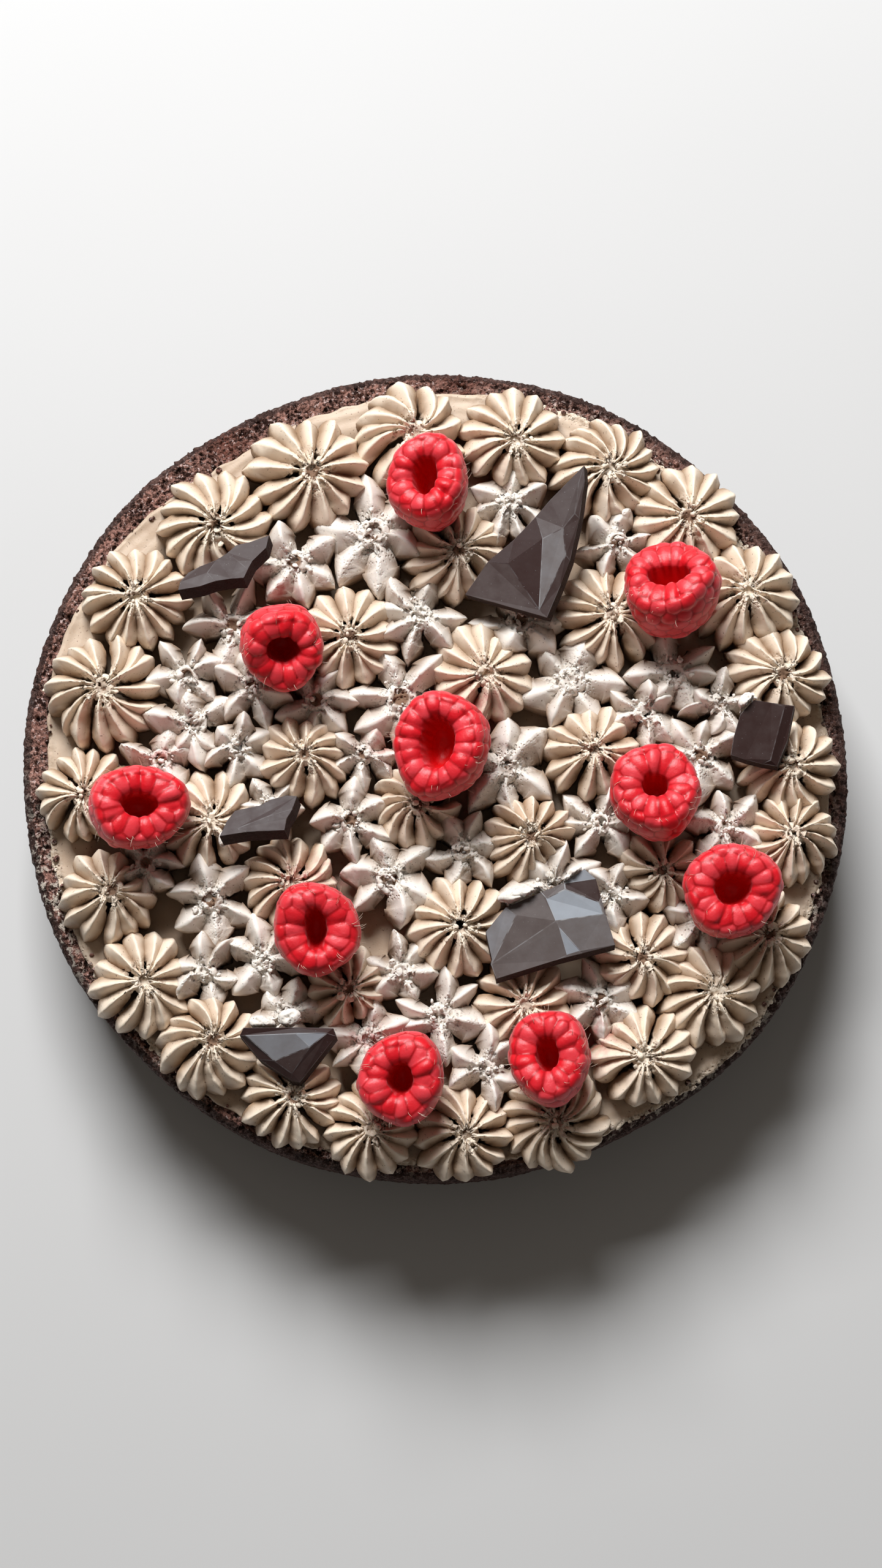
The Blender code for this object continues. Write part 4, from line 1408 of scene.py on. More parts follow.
def inside_outline(x: np.ndarray, y: np.ndarray, corners: Sequence[Pair],
                   grow: float) -> np.ndarray:
    """Say which points lie inside an outline.

    Args:
        x: First coordinate of each point.
        y: Second coordinate of each point.
        corners: The outline.
        grow: How far it is first grown away from its middle.

    Returns:
        Whether each point lies inside.
    """
    outline = np.array(corners)
    middle = outline.mean(0)
    reach = np.hypot(*(outline - middle).T)
    outline = middle + (outline - middle) * (1.0 + grow / reach)[:, None]
    inside = np.zeros(len(x), bool)
    for (ax, ay), (bx, by) in zip(outline, np.roll(outline, -1, 0)):
        crosses = (ay > y) != (by > y)
        inside ^= crosses & (x < (bx - ax) * (y - ay) / (by - ay + 1e-12) + ax)
    return inside


@dataclass
class Press:
    """Makes the cream give way under the raspberries and the chocolate."""

    gap: float = 0.15            # between the cream and what lies on it
    snug: float = 0.95           # share of a berry's width that the cream keeps clear
    margin: float = 0.7          # how far round a piece of chocolate the cream gives way

    def apply(self, shape: Shape) -> Shape:
        """Press the berries and the chocolate into a shape and stain it with juice.

        Args:
            shape: The cream; its points move.

        Returns:
            The same shape, with the mark stain.
        """
        for row in RASPBERRIES:
            self.round_berry(shape, Berry(row))
        for cut in CUTS:
            self.under_shard(shape, cut)
        x, y, _ = (shape.points / MM).T
        juice = sum(np.exp(-((x - u) ** 2 + (y - v) ** 2) / reach ** 2) for u, v, reach in STAINS)
        shape.marks["stain"] = np.clip(juice, 0, 1)
        return shape

    def round_berry(self, shape: Shape, berry: Berry) -> None:
        """Move points that lie inside a berry to its skin, or under its tip.

        Args:
            shape: The cream.
            berry: The berry.
        """
        matrix = np.array(berry.matrix())
        local = (shape.points - matrix[:3, 3]) @ matrix[:3, :3] / MM
        half = np.array(berry.row[2:4]) * 0.5
        level = local[:, 2] / berry.height + 0.5
        skin = berry.share(level) * self.snug
        out = np.hypot(local[:, 0] / half[0], local[:, 1] / half[1])
        inside = (level > 0.0) & (level < 1.0) & (out < skin)
        if not inside.any():
            return
        deep = inside & (out < 0.45 * skin)
        local[deep, 2] = -0.5 * berry.height - self.gap
        side = inside & ~deep
        local[side, :2] *= (skin[side] / out[side])[:, None]
        shape.points[inside] = (local[inside] * MM) @ matrix[:3, :3].T + matrix[:3, 3]

    def under_shard(self, shape: Shape, cut: Cut) -> None:
        """Hold points below the underside of a piece of chocolate.

        Args:
            shape: The cream.
            cut: The piece of chocolate.
        """
        x, y, z = (shape.points / MM).T
        under = cut.above(x, y) - cut.thickness - self.gap
        low = inside_outline(x, y, cut.outline, self.margin) & (z > under)
        shape.points[low, 2] = under[low] * MM


# --- Cream bed ---

@dataclass
class CreamBed:
    """The spread cream that fills the hollow and laps over the rim."""

    rim: Rim
    trees: Trees
    points: int = 1120
    rows: int = 58
    rim_height: float = 34.0
    floor: float = 29.7
    swell: float = 0.5
    sink: float = 2.8            # the spread cream is thinner under the piping
    border: float = 7.0          # width of the full height along the rim
    slope: float = 5.0           # width over which it then sinks
    turn_down: float = 0.9       # where its edge begins to turn down
    fall: tuple = ((0.45, 0.10), (0.12, 0.38), (0.0, 0.75), (0.10, 1.02))   # inwards and down
    ripples: tuple = (9, 14, 23, 37, 51, 68, 83)    # waves along its edge
    wipe: float = 0.16           # height of the palette knife's marks
    ragged: tuple = ((72, 7, 26), (40, 14, 36), (18, 9, 26), (336, 10, 30), (303, 12, 36),
                     (262, 9, 14), (225, 6, 10), (196, 9, 10))
    seed: int = 11

    def build(self) -> Shape:
        """Make the bed.

        Returns:
            The bed, closed underneath, with the tufts on its edge.
        """
        angles = np.arange(self.points) * TURN / self.points
        draw = np.random.default_rng(self.seed)
        ragged = sum(draw.uniform(0.06, 0.16) * np.sin(count * angles + draw.uniform(0.0, TURN))
                     for count in self.ripples)
        inside = self.rim.inside(angles)
        edge = inside + self.rim.overlap(angles) - 0.3 + ragged
        rings = []
        for i in range(1, self.rows + 1):
            share = i / self.rows
            share = 1.0 - (1.0 - share) ** 1.5
            radius = share * (edge - self.turn_down)
            sunk = self.sink * np.clip((inside - self.border - radius) / self.slope, 0.0, 1.0)
            wipe = self.wipe * np.sin(1.9 * (radius - inside) + 2.5 * np.sin(3.0 * angles)
                                      + 1.5 * np.sin(11.0 * angles + 1.0))
            rings.append((radius, BED_TOP - sunk + wipe * share ** 8))
        for back, drop in self.fall:
            rings.append((edge - back, np.full_like(edge, BED_TOP - drop)))
        rings.append((inside - 0.5, np.full_like(edge, self.rim_height - 0.1)))
        rings.append((inside - 0.8, np.full_like(edge, self.floor)))
        points = turned(rings, angles, BED_TOP - self.sink, self.floor)
        faces = [face[::-1] for face in tube_faces(len(rings), self.points)]
        rough = np.zeros(len(points))
        rough[:(self.rows + len(self.fall)) * self.points] = 1.0
        # A low crest all over the bed, lower where it sinks under the piping, so the finish paints it
        # in shade.
        crest = np.where(points[:, 2] > BED_TOP - 1.0, 0.38, 0.25)
        shape = Shape.of_faces(points, faces, {"rough": rough, "crest": crest})
        made = self.trees.relief.carve(shape, (14.0, self.swell), (9.0, 0.10), 1.0, 0.77,
                                       ("crest",))
        return Shape.joined([self.tear(made), self.tufts()])

    def tear(self, shape: Shape) -> Shape:
        """Tear the edge of the cream where it was left ragged.

        Args:
            shape: The bed.

        Returns:
            The torn bed.
        """
        x, y, z = (shape.points / MM).T
        turn = np.arctan2(y, x)
        inwards = self.rim.inside(turn) + self.rim.overlap(turn) - np.hypot(x, y)
        where = sum(bump_at(turn, direction, 1.6 * spread) for direction, spread, _ in self.ragged)
        rough = np.clip(1.2 - inwards / 2.6, 0.0, 1.0) * np.clip(where, 0.15, 1.0)
        rough *= z > self.rim_height - 1.0
        shape.marks["rough"], shape.marks["torn"] = rough, 0.8 * rough
        return self.trees.relief.carve(shape, (1.3, 0.7), (1.7, 1.5), 1.0, 0.35,
                                       ("crest", "torn", "pit"))

    def tufts(self) -> Shape:
        """Leave ragged bits of cream along the rim.

        Returns:
            The bits.
        """
        draw = random.Random(self.seed)
        spots = Spots()
        for direction, spread, count in self.ragged:
            for _ in range(count):
                turn = radians(draw.gauss(direction, spread))
                edge = self.rim.inside(np.array([turn])) + self.rim.overlap(np.array([turn]))
                out, size = float(edge[0]) + draw.uniform(-1.6, 0.1), draw.uniform(0.2, 0.7)
                z = self.rim_height + draw.uniform(0.0, 1.0)
                spin = (draw.uniform(-0.5, 0.5), draw.uniform(-0.5, 0.5), draw.uniform(0.0, TURN))
                spots.add((out * cos(turn), out * sin(turn), z), {
                    "spin": spin,
                    "size": (size * draw.uniform(1.2, 2.6) * MM, size * MM, 0.5 * size * MM)},
                    torn=1.0, crest=draw.uniform(0.4, 0.9))
        return spots.scatter(self.trees, lump(), 0.45, 1.1, 0.3, ("torn", "crest"))

    def dress(self, finishes: Finishes, press: Press) -> None:
        """Make the piece and hand it over."""
        piece = press.apply(self.build()).to_object("cream_bed", [finishes.mocha])
        hand_over(piece, Slot.MOCHA, "mocha_cream")


# --- Piping ---

@dataclass
class Stroke:
    """One pull of the piping tip: its crest line, width and depth from the tip inwards."""

    rows: tuple                  # distance out, height, half width, depth of its sides
    sharpness: float = 1.6
    blunt: float = 0.12          # how far the crest is rounded over, as a share of the half width
    across: int = 13             # points over its back
    steps: int = 2               # rows made from each row of the table
    foot: float = -3.6           # height that its underside comes down to
    torn_share: float = 0.31     # share of its length, from the heart, that is torn
    rough: float = 0.12          # roughness of its outer end

    def build(self) -> Shape:
        """Make the stroke, pointing along +X with its heart at the origin.

        Returns:
            The closed stroke, with the marks crest, torn and rough.
        """
        number = np.linspace(0.0, len(self.rows) - 1.0, self.steps * (len(self.rows) - 1) + 1)
        rows = np.column_stack([np.interp(number, np.arange(len(self.rows)), column)
                                for column in zip(*self.rows)])
        ways = np.gradient(rows[:, :2], axis=0)
        ways /= np.linalg.norm(ways, axis=1)[:, None]
        points, crests = [], []
        for (out, up, half, depth), way in list(zip(rows, ways))[1:-1]:
            down = -np.abs((way[1], way[0]))
            for across in np.linspace(-1.0, 1.0, self.across):
                fall = (across * across + self.blunt ** 2) ** (0.5 * self.sharpness)
                sink = depth * (fall - self.blunt ** self.sharpness)
                points.append((out + down[0] * sink, across * half, up + down[1] * sink))
                # crest falls from 1 on the crest line across the flanks and is 0 underneath; the
                # finish paints shade where it is low.
                crests.append(1.0 - abs(across) ** self.sharpness)
            for across in (0.9, -0.9):
                points.append((out + down[0] * depth * 0.8, across * half,
                               max(self.foot, up - 2.4 * depth - 1.0)))
                crests.append(0.0)
        points += [(row[0], 0.0, row[1]) for row in (rows[0], rows[-1])]
        crests += [0.7, 0.7]
        torn = np.clip(1.6 - np.array(points)[:, 0] / (self.torn_share * rows[0][0]), 0.0, 1.0)
        return Shape.of_faces(points, tube_faces(len(rows) - 2, self.across + 2), {
            "crest": np.maximum(crests, 0.7 * torn), "torn": torn,
            "rough": np.clip(self.rough + torn, 0.0, 1.0)})


@dataclass
class Plan:
    """Where every piped piece stands and where it meets its neighbours."""

    clearance: float = 0.3
    overlap: float = 1.24
    pieces: list[Triple] = field(
        default_factory=lambda: [row[:3] for row in ROSETTES + FLOWERS])

    def seams(self, index: int) -> list[Pair]:
        """Find the straight seams round a piece.

        Args:
            index: Its number among the pieces.

        Returns:
            Direction and distance of each seam.
        """
        x, y, radius = self.pieces[index]
        found = []
        for other, (u, v, width) in enumerate(self.pieces):
            apart = hypot(u - x, v - y)
            if other != index and apart < radius + width:
                reach = apart * radius / (radius + width) - 0.5 * self.clearance
                found.append((atan2(v - y, u - x), reach * self.overlap))
        return found

    @staticmethod
    def within(radius: float, angle: float, seams: Sequence[Pair]) -> float:
        """Shorten a radius where it would cross a seam.

        Args:
            radius: The radius.
            angle: Its direction.
            seams: Direction and distance of each seam.

        Returns:
            The radius that is left.
        """
        for direction, reach in seams:
            facing = cos(angle - direction)
            if facing > 0.0:
                radius = min(radius, reach / facing)
        return radius


class Spots:
    """Points that carry numbers and vectors for a tree."""

    def __init__(self) -> None:
        """Start with no points."""
        self.places: list[Triple] = []
        self.numbers: dict[str, list[float]] = {}
        self.vectors: dict[str, list[Triple]] = {}

    def add(self, place: Triple, vectors: Mapping[str, Triple], **numbers: float) -> None:
        """Add one point.

        Args:
            place: Its place in millimetres.
            vectors: The vectors that it carries.
            numbers: The numbers that it carries.
        """
        self.places.append(place)
        for name, value in numbers.items():
            self.numbers.setdefault(name, []).append(value)
        for name, value in vectors.items():
            self.vectors.setdefault(name, []).append(value)

    def run(self, tree: Tree, values: Mapping[str, Any], marks: Iterable[str]) -> Shape:
        """Run a tree on the points."""
        start = Shape.of_faces(self.places, [], self.numbers)
        return tree.run(start, values, marks, self.vectors)

    def scatter(self, trees: Trees, shape: Shape, uneven: float, grain: float, seed: float,
                marks: Iterable[str]) -> Shape:
        """Set a shape on every point.

        Args:
            trees: The geometry trees.
            shape: The shape.
            uneven: How far its surface goes in and out, in millimetres.
            grain: Size of that unevenness, in millimetres.
            seed: Shift of its pattern.
            marks: The marks to read back.

        Returns:
            All the copies.
        """
        return self.run(trees.scatter, {"Shape": shape, "Unevenness": uneven * MM,
                                        "Grain": grain * MM, "Seed": seed}, marks)


def lump(sides: int = 9, levels: int = 6) -> Shape:
    """A lump, one unit in half width."""
    points, faces = ball(sides, levels)
    return Shape.of_faces(points / MM, faces)


@dataclass
class Hearts:
    """The torn middles of the piped pieces, with their broken bits."""

    trees: Trees
    rings: int = 12
    rim_share: float = 0.62
    crater: float = 0.75
    marks: tuple = ("owner", "torn", "crest", "pit")
    seed: int = 5

    def dome(self) -> Shape:
        """Make a low dome with a sunken middle.

        Returns:
            The dome, one unit in radius.
        """
        points, faces = hexagon_disc(self.rings)
        out = np.hypot(points[:, 0], points[:, 1])
        sunk = self.crater * np.clip(1.0 - out / self.rim_share, 0.0, 1.0)
        points[:, 2] = 1.0 - out ** 3 - sunk
        edge = 6 * self.rings
        first = len(points) - edge
        faces.append(tuple(first + (edge - i) % edge for i in range(edge)))
        # crest falls and deep rises towards the sunken middle, where the finish paints shade.
        return Shape.of_faces(points / MM, faces, {
            "rough": np.clip(1.15 - out, 0.0, 1.0), "torn": np.ones(len(points)),
            "crest": np.clip(0.45 + 0.4 * out, 0.0, 0.8),
            "deep": 0.95 * np.clip(1.8 - 2.1 * out, 0.0, 1.0)})

    def tear(self, shape: Shape, pores: float, depth: float) -> Shape:
        """Open bubbles in the rough inner ends of the strokes."""
        return self.trees.relief.carve(shape, (1.2, 0.3), (pores, depth), 1.25, 0.9, self.marks)

    def build(self, places: Sequence[tuple], bits: int, pores: float) -> Shape:
        """Make the middles of a group of piped pieces.

        Args:
            places: x, y, z of each middle's foot, its radius and its height.
            bits: Broken bits on each.
            pores: Size of the holes.

        Returns:
            All of them, with the mark owner numbering the places.
        """
        draw = random.Random(self.seed)
        domes, crumbs = Spots(), Spots()
        for owner, (x, y, z, radius, height) in enumerate(places):
            domes.add((x, y, z), {
                "spin": (0.0, 0.0, draw.uniform(0.0, TURN)),
                "size": (radius * MM, radius * MM, height * MM)},
                owner=owner, open=draw.choice((0.2, 0.6, 0.9, 1.0)))
            for _ in range(bits):
                turn, out = draw.uniform(0.0, TURN), radius * draw.uniform(0.15, 1.35)
                size = draw.uniform(0.2, 0.6)
                rise = height * (1.0 - 0.30 * (out / radius) ** 2) + draw.uniform(-0.2, 0.3)
                crumbs.add((x + out * cos(turn), y + out * sin(turn), z + rise), {
                    "spin": tuple(draw.uniform(0.0, TURN) for _ in range(3)),
                    "size": tuple(size * draw.uniform(0.4, 1.9) * MM for _ in range(3))},
                    owner=owner, torn=1.0, crest=0.8)
        base = domes.scatter(self.trees, self.dome(), 0.35, 2.2, 0.2,
                             ("owner", "rough", "torn", "crest", "deep", "open"))
        # Each middle shows its own share of the painted shade in its hollow.
        base.marks["deep"] *= base.marks.pop("open")
        base = self.trees.relief.carve(base, (1.8, 0.5), (pores, 2.4), 1.7, 0.4, self.marks)
        loose = crumbs.scatter(self.trees, lump(), 0.4, 0.7, 0.6, ("owner", "torn", "crest"))
        return Shape.joined([base, loose])


@dataclass
class Piping:
    """What both kinds of piped pieces share; radius and height are those of the usual one."""

    plan: Plan
    trees: Trees
    hearts: Hearts
    radius: float = 12.0
    height: float = 12.4
    unevenness: float = 0.40
    middle: Triple = (0.72, 0.27, 0.15)     # foot, radius and height of its middle, as shares

    def stroke(self) -> Shape:
        """Make one stroke at the usual size."""
        raise NotImplementedError

    def pull(self, spots: Spots, grain: float, seed: float, *marks: str) -> Shape:
        """Pull a stroke on every point.

        Args:
            spots: The points.
            grain: Size of the strokes' unevenness, in millimetres.
            seed: Shift of its pattern.
            marks: More marks to read back.

        Returns:
            All the strokes.
        """
        return spots.run(self.trees.strokes, {
            "Stroke": self.stroke(), "Radius": self.radius * MM, "Height": self.height * MM,
            "Unevenness": self.unevenness * MM, "Grain": grain * MM, "Seed": seed},
            ("owner", "crest", "torn", "rough", *marks))

    def middle_at(self, x: float, y: float, base: float, radius: float, tall: float) -> tuple:
        """Place, radius and height of a piece's middle."""
        foot, wide, rise = self.middle
        return x, y, base + foot * self.height * tall, wide * radius, rise * self.height


@dataclass
class Rosettes(Piping):
    """Mocha rosettes from a closed star tip, each with 13 to 15 pulled ribs and a torn middle."""

    sink: float = 0.4
    usual: int = 12              # ribs that the stroke's own width is made for
    ribs: tuple = (13, 13, 14, 15)
    tip: float = 0.95            # share of the lean that its middle follows
    seed: int = 7

    def stroke(self) -> Shape:
        """Make one rib.

        Returns:
            The rib at the usual size.
        """
        shares = (
            (1.020, 0.04, 0.00, 0.0), (1.014, 0.16, 0.38, 0.5), (1.004, 0.30, 0.64, 1.0),
            (0.985, 0.44, 0.84, 1.6), (0.950, 0.55, 0.98, 2.4), (0.890, 0.64, 1.07, 3.4),
            (0.810, 0.71, 1.12, 4.3), (0.710, 0.77, 1.13, 4.6), (0.600, 0.83, 1.14, 4.3),
            (0.490, 0.875, 1.15, 3.7), (0.390, 0.905, 1.14, 3.0), (0.310, 0.925, 1.08, 2.5),
            (0.240, 0.92, 0.9, 2.0), (0.195, 0.87, 0.6, 1.4), (0.170, 0.76, 0.0, 0.0),
        )
        pitch = pi * self.radius / self.usual
        rows = tuple((out * self.radius, up * self.height, half * out * pitch, depth)
                     for out, up, half, depth in shares)
        return Stroke(rows, sharpness=1.05, blunt=0.06).build()

    def build(self) -> Shape:
        """Make every rosette.

        Returns:
            All of them, with the mark owner numbering them.
        """
        draw, base = random.Random(self.seed), BED_TOP - self.sink
        spots, middles = Spots(), []
        for index, (x, y, radius, lean_x, lean_y) in enumerate(ROSETTES):
            seams = self.plan.seams(index)
            count = draw.choice(self.ribs)
            phase, tall = draw.uniform(0.0, TURN), draw.uniform(0.95, 1.05)
            swirl, tilt = radians(draw.uniform(-28.0, 14.0)), draw.uniform(-1.5, 0.9)
            for rib in range(count):
                turn = phase + TURN * rib / count + radians(draw.gauss(0.0, 2.2))
                reach = self.plan.within(radius * draw.uniform(1.02, 1.13), turn, seams)
                spots.add((0.0, 0.0, 0.0), {
                    "heart": (x * MM, y * MM, base * MM),
                    "lean": (lean_x * MM, lean_y * MM, 0.0)},
                    turn=turn, reach=reach / self.radius,
                    girth=radius / self.radius * self.usual / count * draw.uniform(0.86, 1.14),
                    tall=tall * draw.uniform(0.96, 1.03),
                    swirl=swirl + radians(draw.uniform(-6.0, 6.0)),
                    bend=draw.uniform(-1.0, 1.0) * MM,
                    tilt=(tilt + draw.uniform(-0.5, 0.5)) * MM,
                    lift=draw.uniform(-0.5, 0.5) * MM, owner=index)
            middles.append(self.middle_at(x + self.tip * lean_x, y + self.tip * lean_y, base,
                                          radius, tall))
        ribs = self.hearts.tear(self.pull(spots, 3.2, 0.1), 1.7, 1.2)
        return Shape.joined([ribs, self.hearts.build(middles, 4, 2.1)])

    def dress(self, finishes: Finishes, press: Press) -> None:
        """Make the pieces and hand them over: the row along the rim, and those inside it.

        Args:
            finishes: The materials.
            press: What the cream gives way to.
        """
        whole = press.apply(self.build())
        owner = whole.marks.pop("owner")
        half = OUTER_ROSETTES // 2
        for name, chosen in (("rosettes_left", owner < half),
                             ("rosettes_right", (owner >= half) & (owner < OUTER_ROSETTES)),
                             ("rosettes_inner", owner >= OUTER_ROSETTES)):
            piece = whole.keep(chosen).to_object(name, [finishes.mocha])
            hand_over(piece, Slot.MOCHA, "mocha_cream")


@dataclass
class PaleFlowers(Piping):
    """Pale flowers from an open tip: five to seven plump petals round a torn middle."""

    radius: float = 10.0
    height: float = 9.4
    unevenness: float = 0.42
    middle: Triple = (0.60, 0.30, 0.20)
    usual: float = 60.0          # degrees between petals that the stroke's own width is made for
    seed: int = 19

    def stroke(self) -> Shape:
        """Make one petal.

        Returns:
            The petal at the usual size.
        """
        rows = ((10.4, 2.6, 0.0, 0.0), (10.35, 4.2, 0.75, 0.6), (10.15, 5.6, 1.4, 1.3),
                (9.7, 6.8, 2.05, 2.2), (9.0, 7.7, 2.65, 3.4), (8.0, 8.4, 3.1, 4.6),
                (6.9, 8.85, 3.25, 5.4), (5.9, 9.0, 3.0, 5.6), (5.0, 8.9, 2.55, 5.2),
                (4.2, 8.6, 2.05, 4.5), (3.4, 8.2, 1.6, 3.7), (2.7, 7.8, 1.25, 3.0),
                (2.1, 7.3, 0.9, 2.2), (1.6, 6.7, 0.0, 0.0))
        return Stroke(rows, sharpness=1.0, blunt=0.05, rough=0.08).build()

    def build(self) -> Shape:
        """Make every flower.

        Returns:
            All of them, with the mark owner numbering them.
        """
        draw = random.Random(self.seed)
        spots, middles = Spots(), []
        for index, (x, y, radius, petals) in enumerate(FLOWERS):
            seams = self.plan.seams(len(ROSETTES) + index)
            tall, count = draw.uniform(0.94, 1.06), len(petals)
            for i, degrees in enumerate(petals):
                before = (degrees - petals[i - 1]) % 360
                after = (petals[(i + 1) % count] - degrees) % 360
                gap = 0.5 * (before + after) / self.usual
                turn = radians(degrees)
                reach = self.plan.within(radius * draw.uniform(0.94, 1.18), turn, seams)
                spots.add((0.0, 0.0, 0.0), {
                    "heart": (x * MM, y * MM, BED_TOP * MM), "lean": (0.0, 0.0, 0.0)},
                    turn=turn, reach=reach / self.radius,
                    girth=radius / self.radius * gap ** 0.6 * draw.uniform(0.8, 1.3),
                    tall=tall * draw.uniform(0.80, 1.12),
                    worn=draw.choice((0.0, 0.0, 0.1, 0.35)),
                    swirl=radians(draw.uniform(-11.0, 11.0)),
                    bend=draw.uniform(-1.1, 1.1) * MM, tilt=draw.uniform(-1.8, 1.8) * MM,
                    lift=draw.uniform(-1.1, 1.1) * MM, owner=index)
            middles.append(self.middle_at(x, y, BED_TOP, radius, tall))
        made = self.pull(spots, 3.6, 0.5, "worn")
        worn = made.marks.pop("worn") * made.marks["crest"]
        for name in ("rough", "torn"):
            made.marks[name] = np.clip(made.marks[name] + worn, 0.0, 1.0)
        made = self.hearts.tear(Shape.joined([made, self.dabs()]), 1.5, 1.5)
        return Shape.joined([made, self.hearts.build(middles, 9, 1.8)])

    def dabs(self) -> Shape:
        """Lay the dabs of cream that lie over the chocolate.

        Returns:
            The dabs.
        """
        spots = Spots()
        for flower, place, size, degrees in DABS:
            spots.add(place, {
                "spin": (0.0, 0.0, radians(degrees)),
                "size": tuple(part * MM for part in size)},
                owner=flower, crest=0.85, rough=0.45, torn=0.25)
        return spots.scatter(self.trees, lump(24, 16), 0.6, 2.4, 0.7,
                             ("owner", "crest", "rough", "torn"))

    def dress(self, finishes: Finishes, press: Press) -> None:
        """Make one piece for each flower and hand it over.

        Args:
            finishes: The materials.
            press: What the cream gives way to.
        """
        whole = press.apply(self.build())
        owner = np.rint(whole.marks.pop("owner"))
        for index in range(len(FLOWERS)):
            flower = whole.keep(owner == index)
            piece = flower.to_object(f"piped_flower_{index + 1:02d}", [finishes.pale])
            hand_over(piece, Slot.PALE, f"pale_flower_{index + 1:02d}")


# --- Raspberries ---

